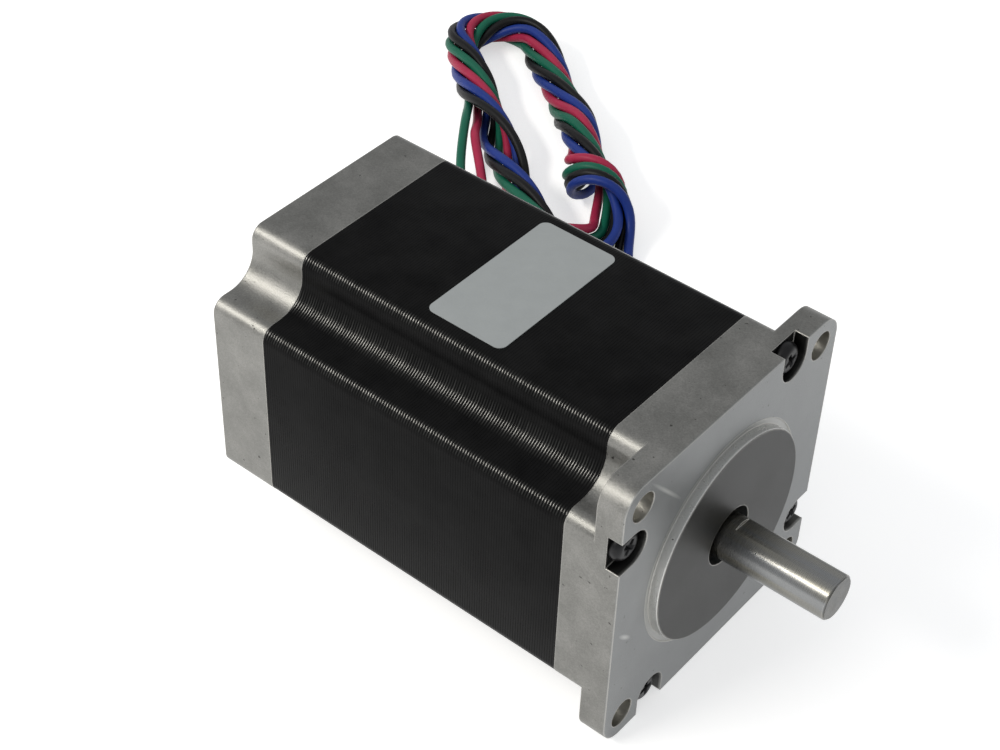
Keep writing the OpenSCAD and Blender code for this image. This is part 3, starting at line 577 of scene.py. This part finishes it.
# %% a screw head
screw_seat, head_height, head_width = -2.65 * MM, 1.9 * MM, 5.6 * MM
head_top = screw_seat + head_height
recess_size, recess_middle = (1.3 * MM, 3.2 * MM, 0.85 * MM), 0.45 * MM
recess_end_share, recess_wall_share = 0.42, 0.7
dome_edge, dome_profile, seat_edge, recess_edge = 1.0 * MM, 0.42, 0.15 * MM, 0.06 * MM
bpy.ops.object.select_all(action="DESELECT")
bpy.ops.mesh.primitive_cylinder_add(vertices=48, radius=head_width / 2, depth=head_height,
                                    rotation=(0, math.radians(90), 0),
                                    location=(screw_seat + head_height / 2, 0, 0))
head = bpy.context.object
bpy.ops.object.transform_apply(location=True, rotation=True, scale=True)
edit(head)
pick("edges", lambda e: min(v.co.x for v in e.verts) > head_top - hair)
bpy.ops.mesh.bevel(offset=dome_edge, segments=6, affect="EDGES", profile=dome_profile)
pick("edges", lambda e: max(v.co.x for v in e.verts) < screw_seat + hair)
bpy.ops.mesh.bevel(offset=seat_edge, segments=2, affect="EDGES")
head = close("head")
for turn in (0, 90):
    only(head)
    bpy.ops.mesh.primitive_cube_add(size=1, scale=recess_size,
                                    location=(head_top - recess_middle, 0, 0))
    bar = bpy.context.object
    bpy.ops.object.transform_apply(location=True, rotation=True, scale=True)
    edit(bar)
    pick("verts", lambda v: v.co.x < head_top - recess_middle)
    bpy.ops.transform.resize(value=(1, recess_end_share, recess_wall_share),
                             center_override=(0, 0, 0))
    bar = close("bar")
    bar.data.transform(Matrix.Rotation(math.radians(turn), 4, "X"))
    applied(head, "BOOLEAN", object=bar, operation="DIFFERENCE", solver="EXACT")
    bpy.data.objects.remove(bar)
applied(head, "BEVEL", width=recess_edge, segments=2, limit_method="ANGLE",
        angle_limit=math.radians(50))
print("a screw head has", len(head.data.polygons), "faces")

# %% its shank, then four screws, each turned by its own angle
shank_radius, shank_edge, first_turn, next_turn = 1.5 * MM, 0.3 * MM, 20, 35
screw_spots = ((15.8, 25.1), (-25.1, 15.8), (-15.8, -25.1), (25.1, -15.8))
shank_length = screw_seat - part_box("assembly_screws")[0].x
bpy.ops.mesh.primitive_cylinder_add(vertices=24, radius=shank_radius, depth=shank_length,
                                    rotation=(0, math.radians(90), 0),
                                    location=(screw_seat - shank_length / 2, 0, 0))
shank = bpy.context.object
bpy.ops.object.transform_apply(location=True, rotation=True, scale=True)
edit(shank)
pick("edges", lambda e: abs(e.verts[0].co.x - e.verts[1].co.x) < hair)
bpy.ops.mesh.bevel(offset=shank_edge, segments=2, affect="EDGES")
shank = close("shank")
screw = joined("screw", shank, head)
bpy.ops.object.shade_smooth_by_angle(angle=math.radians(35))
screws = [copied(screw, first_turn + next_turn * i, (0, y * MM, z * MM))
          for i, (y, z) in enumerate(screw_spots)]
bpy.data.objects.remove(screw)
hand_over(joined("black_screws", *screws), "housing", "black_screw", "assembly_screws")

# %% [markdown]
# ## The windings
# Each of the eight poles carries one coil, wound from a single enamelled wire: five layers of
# five turns, out and back along the pole. The wire steps over to its next place on the coil's
# front end, as a winding machine lays it. The path is a formula, so it is a curve made thick.

# %% one coil's path
wire_width, layers, columns = 0.54, 5, 5
layer_pitch, turn_pitch, points_a_corner = 0.56, 0.6, 4
coil_middle_x, coil_start = -41.65, 19.9
coil_half_length, coil_half_height, coil_corner = 32.15, 4.603, 0.6


def coil_path():
    """The points of the wire's middle, in millimetres: five layers of five turns."""
    path = []
    for layer in range(layers):
        out = layer_pitch * (layer + 0.5)
        a, b, r = coil_half_length + out, coil_half_height + out, coil_corner + out
        for turn in range(columns):
            column = turn if layer % 2 == 0 else columns - 1 - turn
            y = coil_start + turn_pitch * (column + 0.5)
            for corner_x, corner_z, first in ((a - r, b - r, 90), (-a + r, b - r, 180),
                                              (-a + r, -b + r, 270), (a - r, -b + r, 0)):
                for i in range(points_a_corner):
                    spot = polar(r, first - 90 + 90 * i / (points_a_corner - 1))
                    path.append((coil_middle_x + corner_x + spot.x, y, corner_z + spot.y))
    return path


# %% eight coils
coil = thick_line("coil", [Vector(spot) * MM for spot in coil_path()], wire_width * MM, 1)
for phase, first in (("a", 0), ("b", 45)):
    coils = [copied(coil, first + 90 * i) for i in range(4)]
    hand_over(joined(f"phase_{phase}_wire", *coils), "housing", "copper_wire",
              f"phase_{phase}_windings")
bpy.data.objects.remove(coil)

# %% [markdown]
# ## Finishes
# A finish is a small tree of nodes. Every tree here starts the same way, with patterns read
# from Object coordinates, so that they sit still on the metal and have a real size: a grain
# of 0.2 mm is written as 0.2 mm. What is the same all over a surface is set on the shader.


# %% helpers that build a finish
def new_finish(name, colour, metallic, roughness, **others):
    """A material and its shader, with the values that are the same all over."""
    finish = bpy.data.materials.new(name)
    finish.use_nodes = True
    shader = finish.node_tree.nodes["Principled BSDF"]
    shader.inputs["Base Color"].default_value = (*colour, 1)
    shader.inputs["Metallic"].default_value = metallic
    shader.inputs["Roughness"].default_value = roughness
    for socket, value in others.items():
        shader.inputs[socket.replace("_", " ")].default_value = value
    return finish, shader


def node(finish, kind, wires=(), **settings):
    """One node, its settings, and what is wired or typed into its inputs."""
    made = finish.node_tree.nodes.new(kind)
    for name, value in settings.items():
        setattr(made, name, value)
    for name, value in dict(wires).items():
        if isinstance(value, bpy.types.NodeSocket):
            finish.node_tree.links.new(value, made.inputs[name])
        else:
            made.inputs[name].default_value = value
    return made


def place(finish, stretch=(1, 1, 1)):
    """Where a point is on the piece, in metres."""
    spot = node(finish, "ShaderNodeTexCoord").outputs["Object"]
    return node(finish, "ShaderNodeMapping", {"Vector": spot, "Scale": stretch}).outputs[0]


def grain(finish, size_mm, stretch=(1, 1, 1), detail=2.0, roughness=0.5):
    """Cloudy noise whose patches are about size_mm across."""
    return node(finish, "ShaderNodeTexNoise",
                {"Vector": place(finish, stretch), "Scale": 1 / (size_mm * MM),
                 "Detail": detail, "Roughness": roughness}).outputs["Fac"]


noise_run = (0.3, 0.7)  # nearly all of a noise's values lie between these


def axes(finish, kind="Object"):
    """X, Y and Z of a point's place, or of its direction when the kind is Normal."""
    source = node(finish, "ShaderNodeTexCoord").outputs[kind]
    return node(finish, "ShaderNodeSeparateXYZ", {0: source}).outputs


def from_line(finish, y, z, mirrored=False):
    """Distance from a line along the shaft, or from the nearest of its four mirror images."""
    flat = place(finish, (0, 1, 1))
    if mirrored:
        flat = node(finish, "ShaderNodeVectorMath", {0: flat},
                    operation="ABSOLUTE").outputs["Vector"]
    return node(finish, "ShaderNodeVectorMath", {0: flat, 1: (0, y, z)},
                operation="DISTANCE").outputs["Value"]


def sums(finish, operation, a, b=0.0):
    """One step of arithmetic with values that vary over the surface."""
    return node(finish, "ShaderNodeMath", {0: a, 1: b}, operation=operation).outputs[0]


def times(finish, product, *factors):
    for factor in factors:
        product = sums(finish, "MULTIPLY", product, factor)
    return product


def ranged(finish, source, low, high, to_low=0.0, to_high=1.0):
    """The source's run from low to high as a run between two other values."""
    return node(finish, "ShaderNodeMapRange",
                {"Value": source, "From Min": low, "From Max": high,
                 "To Min": to_low, "To Max": to_high}).outputs[0]


def tones(finish, source, stops):
    """Colours along a ramp: (place, colour) pairs."""
    ramp = node(finish, "ShaderNodeValToRGB", {"Fac": source})
    steps = ramp.color_ramp.elements
    while len(steps) < len(stops):
        steps.new(0.5)
    for step, (spot, colour) in zip(steps, stops):
        step.position, step.color = spot, (*colour, 1)
    return ramp.outputs["Color"]


def layered(finish, tone, *layers):
    """A tone with others laid over it: (share, colour) pairs, the last on top."""
    for share, colour in layers:
        tone = node(finish, "ShaderNodeMix", {"Factor": share, "A": tone, "B": colour},
                    data_type="RGBA").outputs["Result"]
    return tone


def relief(finish, height, depth_mm, under=None):
    """The surface's direction with small heights and hollows added."""
    wires = {"Height": height, "Distance": depth_mm * MM, "Strength": 1.0}
    if under is not None:
        wires["Normal"] = under
    return node(finish, "ShaderNodeBump", wires).outputs[0]


def soft_edge(finish, radius_mm):
    """The surface's direction with its sharp edges eased by that radius."""
    return node(finish, "ShaderNodeBevel", {"Radius": radius_mm * MM}, samples=6).outputs[0]


def patch(finish, y, z, turn, long, wide, edge):
    """1 inside an oval on the mounting face, in millimetres, fading to 0 past its edge."""
    spot = node(finish, "ShaderNodeTexCoord").outputs["Object"]
    inside = node(finish, "ShaderNodeMapping",
                  {"Vector": spot, "Location": (0, y * MM, z * MM),
                   "Rotation": (math.radians(turn), 0, 0), "Scale": (1, long * MM, wide * MM)},
                  vector_type="TEXTURE").outputs[0]
    far = node(finish, "ShaderNodeVectorMath", {0: inside}, operation="LENGTH").outputs["Value"]
    return ranged(finish, far, 1.0, edge)


def edge_share(finish, eased):
    """0 on a flat, rising to 1 on an eased edge."""
    real = node(finish, "ShaderNodeNewGeometry").outputs["Normal"]
    match = node(finish, "ShaderNodeVectorMath", {0: eased, 1: real},
                 operation="DOT_PRODUCT").outputs["Value"]
    return ranged(finish, match, 1.0, 0.8)


def wire(finish, shader, **sockets):
    """Wires what varies over a surface into its shader."""
    for name, source in sockets.items():
        finish.node_tree.links.new(source, shader.inputs[name.replace("_", " ")])


def dress(finish, *things):
    """Puts a finish on CAD nodes, by name, and on new pieces."""
    for thing in things:
        if isinstance(thing, str):
            for slot in frame["nodes"][thing].material_slots:
                slot.material = finish
        else:
            thing.data.materials.clear()
            thing.data.materials.append(finish)
    print(finish.name, "on", ", ".join(getattr(t, "name", t) for t in things))


# %% [markdown]
# ### Cast caps
# The two end caps are die-cast and barrel-finished: a satin grey with a fine speckled grain,
# soft smudges, a few pits, and lighter eased edges, partly worn bright by the tumbling and
# partly a painted highlight. The mounting face and the pilot were faced on a lathe, so fine
# circles run round the shaft there.

# %% where the caps were faced, bored and cut
# each pair is where a place starts to count and where it counts in full
cast, cast_shader = new_finish("cast_cap_finish", (0.24, 0.24, 0.23), 1.0, 0.42)
face_from, pilot_face_from = (-0.3 * MM, -0.1 * MM), (1.45 * MM, 1.55 * MM)
ring_from = (-0.3 * MM, 0.1 * MM)
ring_inside, ring_outside = (18.5 * MM, 18.8 * MM), (20.3 * MM, 20.1 * MM)
hole_place, hole_wall = 23.57 * MM, (2.7 * MM, 2.62 * MM)
pocket_wall = (4.6 * MM, 4.4 * MM)
pocket_top, pocket_floor = (-0.3 * MM, -0.6 * MM), (-2.9 * MM, -2.7 * MM)
along = axes(cast)["X"]
round_shaft = from_line(cast, 0, 0)
on_face = ranged(cast, along, *face_from)
pilot_face = ranged(cast, along, *pilot_face_from)
# the pilot's side wall: it gets a lower roughness and a painted highlight
pilot_wall = times(cast, sums(cast, "SUBTRACT", ranged(cast, along, *ring_from), pilot_face),
                   ranged(cast, round_shaft, *ring_inside),
                   ranged(cast, round_shaft, *ring_outside))
# the walls of the four mounting holes, which get a painted reflection
painted_hole_reflection = ranged(cast, from_line(cast, hole_place, hole_place, mirrored=True), *hole_wall)
near_screw = 1.0
for y, z in screw_spots:
    near_screw = sums(cast, "MINIMUM", near_screw, from_line(cast, y * MM, z * MM))
# the walls of the screw pockets, which get painted shade
painted_pocket_shade = times(cast, ranged(cast, near_screw, *pocket_wall),
                  ranged(cast, along, *pocket_top), ranged(cast, along, *pocket_floor))
print("screw pockets at", screw_spots, "and mounting holes at", round(hole_place, 5))

# %% cast metal: grain, pits, marks and tones
eased = soft_edge(cast, 0.35)
speckle = grain(cast, 0.26, detail=4.0, roughness=0.75)
smudge = grain(cast, 7.0, detail=4.0, roughness=0.6)
circles_per_metre = 9000.0
lathe = node(cast, "ShaderNodeTexNoise", {"W": times(cast, round_shaft, circles_per_metre),
                                          "Scale": 1.0, "Detail": 2.0},
             noise_dimensions="1D").outputs["Fac"]
pits = ranged(cast, grain(cast, 1.0, detail=2.5), 0.715, 0.745)
# a pale nick on the flange's edge, and a pale streak 7 mm long across the mounting face
nick = times(cast, patch(cast, y=-25.0, z=-3.8, turn=-44, long=2.4, wide=0.55, edge=0.2), 0.5)
pale_streak = times(cast, patch(cast, y=-17.6, z=22.3, turn=-48.5, long=7.0, wide=0.45, edge=0.1),
                0.6)
marks = times(cast, on_face, sums(cast, "MAXIMUM", nick, pale_streak))
mottled = sums(cast, "ADD", times(cast, speckle, 0.55), times(cast, smudge, 0.45))
body_tone = tones(cast, mottled, [(0.34, (0.15, 0.149, 0.139)), (0.5, (0.218, 0.216, 0.204)),
                                  (0.66, (0.31, 0.305, 0.29))])
face_tone = tones(cast, mottled, [(0.34, (0.19, 0.195, 0.197)), (0.66, (0.29, 0.297, 0.298))])
pilot_tone = tones(cast, mottled, [(0.34, (0.032, 0.032, 0.031)), (0.5, (0.05, 0.05, 0.049)),
                                   (0.66, (0.072, 0.072, 0.07))])
cast_tone = layered(
    cast, body_tone, (on_face, face_tone), (marks, (0.66, 0.66, 0.64, 1)),
    # the pale grey on the pilot's wall is a painted highlight
    (pilot_face, pilot_tone), (pilot_wall, (0.75, 0.75, 0.73, 1)),
    # a painted reflection on the mounting holes' walls, and painted shade in the screw pockets
    (painted_hole_reflection, (0.36, 0.35, 0.32, 1)), (painted_pocket_shade, (0.06, 0.06, 0.058, 1)),
    # lighter eased edges: partly worn bright by the tumbling, partly a painted highlight
    (pits, (0.07, 0.068, 0.062, 1)), (edge_share(cast, eased), (0.5, 0.49, 0.46, 1)))
cast_gloss = sums(cast, "ADD", ranged(cast, speckle, *noise_run, 0.33, 0.5),
                  ranged(cast, smudge, *noise_run, -0.05, 0.05))
cast_gloss = sums(cast, "SUBTRACT", cast_gloss, times(cast, pilot_wall, 0.08))
rough_cast = relief(cast, sums(cast, "ADD", speckle, times(cast, pits, -0.5)), 0.035, eased)
turned = relief(cast, times(cast, lathe, on_face), 0.003, rough_cast)
wire(cast, cast_shader, Base_Color=cast_tone, Roughness=cast_gloss, Normal=turned)
dress(cast, "front_end_cap", "rear_end_cap")

# %% [markdown]
# ### Black sheets, steel and small parts
# The stator's sheets are blackened. On the flats varnish fills the gaps between them, so they
# shade as one surface, and on the rounded corners wear has laid the metal of each rim bare.
# The shaft is ground, so its grain runs round it, and it has faint golden and bluish tints.
# Screws are black oxide, the bearings polished or ground steel, and the label is satin foil.

# %% blackened sheets
sheets, sheets_shader = new_finish("black_sheet_finish", (0.006, 0.006, 0.0062), 0.0, 0.28,
                                   Specular_IOR_Level=0.04)
facing = axes(sheets, "Normal")
sheet_number = sums(sheets, "FLOOR", times(sheets, axes(sheets)["X"], 1 / pitch))
each_sheet = node(sheets, "ShaderNodeTexWhiteNoise", {"W": sheet_number},
                  noise_dimensions="1D").outputs["Value"]
on_corner = ranged(sheets, sums(sheets, "ABSOLUTE", times(sheets, facing["Y"], facing["Z"])),
                   0.33, 0.46)
tilt = sums(sheets, "ABSOLUTE", facing["X"])
worn = times(sheets, on_corner, ranged(sheets, tilt, 0.12, 0.26, 1.0, 0.0))
dust = ranged(sheets, grain(sheets, 0.35, detail=3.0, roughness=0.7), 0.72, 0.8)
black = tones(sheets, grain(sheets, 6.0, detail=4.0, roughness=0.6),
              [(0.3, (0.0042, 0.0042, 0.0044)), (0.7, (0.0085, 0.0085, 0.0087))])
bare = tones(sheets, each_sheet, [(0.0, (0.03, 0.03, 0.029)), (1.0, (0.06, 0.06, 0.058))])
sheet_gloss = sums(sheets, "ADD", ranged(sheets, grain(sheets, 0.3), *noise_run, 0.17, 0.23),
                   times(sheets, each_sheet, 0.04))
print("a sheet is", round(pitch / MM, 3), "mm thick with its gap")

# %% varnish in the gaps: on the flats the surface faces straight out
real = node(sheets, "ShaderNodeNewGeometry").outputs["Normal"]
filled = node(sheets, "ShaderNodeVectorMath", {0: real, 1: (0, 1, 1)},
              operation="MULTIPLY").outputs["Vector"]
glued = times(sheets, sums(sheets, "SUBTRACT", 1.0, on_corner),
              ranged(sheets, tilt, 0.8, 0.9, 0.93, 0.0))
toward = node(sheets, "ShaderNodeMix", {"Factor": glued, "A": real, "B": filled},
              data_type="VECTOR").outputs["Result"]
levelled = node(sheets, "ShaderNodeVectorMath", {0: toward},
                operation="NORMALIZE").outputs["Vector"]
wire(sheets, sheets_shader, Metallic=worn, Roughness=sheet_gloss,
     Base_Color=layered(sheets, black, (dust, (0.05, 0.05, 0.048, 1)), (worn, bare)),
     Normal=relief(sheets, grain(sheets, 0.15, stretch=(2, 1, 1)), 0.002, levelled))
dress(sheets, "stator_stack", *slot_pieces["black_laminations"])

# %% ground steel of the shaft
steel, steel_shader = new_finish("shaft_finish", (0.22, 0.215, 0.205), 1.0, 0.24)
eased = soft_edge(steel, 0.15)
rings = grain(steel, 0.05, stretch=(1, 0.03, 0.03), detail=2.0)
haze = grain(steel, 3.0, stretch=(0.3, 1, 1), detail=4.0, roughness=0.65)
streaks = grain(steel, 1.5, stretch=(0.05, 1, 1), detail=1.0)
along = axes(steel)["X"]
# the end face and the outer part of its chamfer are darkened: painted shade
painted_end_shade = ranged(steel, along, 21.7 * MM, 21.9 * MM, 0.0, 0.8)
at_pilot = ranged(steel, along, 7 * MM, 0.0, 0.0, 0.6)
ground_tone = tones(steel, sums(steel, "ADD", times(steel, rings, 0.35),
                                times(steel, haze, 0.65)),
                    [(0.3, (0.19, 0.187, 0.172)), (0.7, (0.31, 0.307, 0.29))])
tint = tones(steel, streaks, [(0.36, (0.3, 0.284, 0.236)), (0.5, (0.26, 0.257, 0.245)),
                              (0.64, (0.238, 0.25, 0.272))])
shaft_tone = layered(steel, ground_tone, (0.5, tint), (painted_end_shade, (0.055, 0.055, 0.052, 1)),
                     (at_pilot, (0.12, 0.108, 0.085, 1)),
                     # lighter eased edges: partly worn bright, partly a painted highlight
                     (edge_share(steel, eased), (0.5, 0.49, 0.46, 1)))
wire(steel, steel_shader, Base_Color=shaft_tone,
     Roughness=ranged(steel, rings, *noise_run, 0.24, 0.33),
     Normal=relief(steel, rings, 0.0004, eased))
dress(steel, "motor_shaft")


# %% one helper for the plainer finishes
def plain_finish(name, colour, metallic, roughness, grain_mm, depth_mm, spread=0.2,
                 stretch=(1, 1, 1), edge_mm=0.0, **others):
    """Colour that varies by the spread, a fine grain in gloss and relief, and eased edges."""
    finish, shader = new_finish(name, colour, metallic, roughness, **others)
    fine = grain(finish, grain_mm, stretch, detail=3.0, roughness=0.6)
    wide = grain(finish, grain_mm * 12, stretch, detail=3.0)
    both = sums(finish, "ADD", times(finish, fine, 0.5), times(finish, wide, 0.5))
    dark = tuple(c * (1 - spread) for c in colour)
    light = tuple(min(c * (1 + spread), 1) for c in colour)
    under = soft_edge(finish, edge_mm) if edge_mm else None
    wire(finish, shader, Base_Color=tones(finish, both, [(0.3, dark), (0.7, light)]),
         Roughness=ranged(finish, fine, *noise_run, roughness * 0.85, min(roughness * 1.15, 1)),
         Normal=relief(finish, fine, depth_mm, under))
    return finish


# name, colour, metallic, roughness, grain in mm, depth in mm, and what else differs
finishes = {
    "black_screw": plain_finish("black_oxide", (0.012, 0.012, 0.013), 0.6, 0.34, 0.15, 0.004,
                                edge_mm=0.12),
    "bearing_steel": plain_finish("ground_race", (0.55, 0.56, 0.58), 1.0, 0.2, 0.1, 0.001,
                                  0.08, edge_mm=0.1),
    "shield_steel": plain_finish("pressed_sheet", (0.42, 0.42, 0.43), 1.0, 0.32, 0.12, 0.002,
                                 0.12),
    "grommet_rubber": plain_finish("grommet_rubber", (0.012, 0.012, 0.012), 0.0, 0.62, 0.18,
                                   0.008, 0.35, edge_mm=0.25),
    "sleeve_plastic": plain_finish("shrunk_sleeve", (0.015, 0.015, 0.015), 0.0, 0.4, 0.2,
                                   0.004),
    "insulator_plastic": plain_finish("moulded_insulator", (0.62, 0.6, 0.5), 0.0, 0.45, 0.2,
                                      0.004, 0.06, edge_mm=0.2),
    "rotor_laminations": plain_finish("ground_teeth", (0.2, 0.2, 0.21), 1.0, 0.34, 0.12, 0.003,
                                      0.2, stretch=(4, 1, 1)),
    "magnet": plain_finish("plated_magnet", (0.28, 0.28, 0.29), 1.0, 0.28, 0.2, 0.002, 0.1),
    "spacer_brass": plain_finish("turned_brass", (0.6, 0.45, 0.2), 1.0, 0.27, 0.1, 0.002, 0.1),
    "ball_steel": plain_finish("polished_ball", (0.7, 0.7, 0.72), 1.0, 0.09, 0.2, 0.0002, 0.04),
    "cage_brass": plain_finish("pressed_brass", (0.5, 0.38, 0.18), 1.0, 0.3, 0.15, 0.002, 0.12),
    "copper_wire": plain_finish("enamelled_copper", (0.45, 0.14, 0.04), 0.75, 0.3, 0.3, 0.003,
                                0.2),
    "label_foil": plain_finish("label_foil", (0.285, 0.303, 0.306), 0.0, 0.42, 0.25, 0.003,
                               0.05, edge_mm=0.1),
}
for part in frame["record"]["subparts"]:
    slot = part.get("material_slot")
    if slot in finishes:
        dress(finishes[slot], part["node"] if "node" in part else part["name"])
for slot in sorted(set(finishes) & set(slot_pieces)):
    dress(finishes[slot], *slot_pieces[slot])

# %% [markdown]
# ### Lead insulation
# The insulation is soft PVC, drawn over the wire: a colour that varies only a little, and a
# satin gloss over a faint orange-peel surface.

# %% four colours of insulation
for colour, tint in {"red": (0.34, 0.02, 0.06), "green": (0.006, 0.105, 0.062),
                     "black": (0.0035, 0.0035, 0.0042), "blue": (0.011, 0.032, 0.2)}.items():
    coat = plain_finish(f"{colour}_pvc", tint, 0.0, 0.45, 0.35, 0.006, 0.14,
                        Specular_IOR_Level=0.2)
    leads[colour].data.materials.append(coat)
    for name in (f"{colour}_lead", f"{colour}_lead_coil"):
        dress(coat, name)

# %% [markdown]
# ## Floor and light
# A pale floor, an even pale surround and one long soft lamp above the motor's left side, as
# in a product photograph. The floor shows itself a little brighter to the camera and to
# reflections, so the ground reads white and still keeps the motor's soft shadow.

# %% floor
floor_size, floor_glow = 6, 0.52
bpy.ops.object.select_all(action="DESELECT")
bpy.ops.mesh.primitive_plane_add(size=floor_size, location=(0, 0, floor_z * MM))
floor = bpy.context.object
floor.name = "studio_floor"
ground = bpy.data.materials.new("floor_paper")
ground.use_nodes = True
ground.node_tree.nodes.clear()
rays = node(ground, "ShaderNodeLightPath").outputs
seen = sums(ground, "MAXIMUM", rays["Is Camera Ray"],
            sums(ground, "MAXIMUM", rays["Is Glossy Ray"], rays["Is Transmission Ray"]))
paper = node(ground, "ShaderNodeBsdfDiffuse", {"Color": (0.8, 0.8, 0.8, 1)})
glow = node(ground, "ShaderNodeEmission", {"Color": (1, 1, 1, 1),
                                           "Strength": times(ground, seen, floor_glow)})
both = node(ground, "ShaderNodeAddShader", {0: paper.outputs[0], 1: glow.outputs[0]})
node(ground, "ShaderNodeOutputMaterial", {"Surface": both.outputs[0]})
floor.data.materials.append(ground)
print("floor at", round(floor.location.z, 4))

# %% surround and lamp
world = bpy.data.worlds.new("studio_surround")
bpy.context.scene.world = world
world.use_nodes = True
surround = world.node_tree.nodes["Background"].inputs
surround["Color"].default_value = (0.6, 0.61, 0.62, 1)
surround["Strength"].default_value = 1.0

lamp_aim = Vector((-0.04, 0, 0))
lamp_spot = lamp_aim + 0.68 * Vector((-0.458, -0.6, 0.655))
bpy.ops.object.light_add(type="AREA", location=lamp_spot)
lamp = bpy.context.object
lamp.name = "key_strip"
lamp.data.shape = "RECTANGLE"
lamp.data.size, lamp.data.size_y = 0.5, 0.08
lamp.data.energy = 3.1
lamp.data.color = (1.0, 0.97, 0.91)
lamp.rotation_euler = (lamp_aim - lamp_spot).to_track_quat("-Z", "Y").to_euler()
bpy.context.scene.view_settings.view_transform = "Standard"
print("lamp", lamp.name, "at", [round(v, 3) for v in lamp_spot])
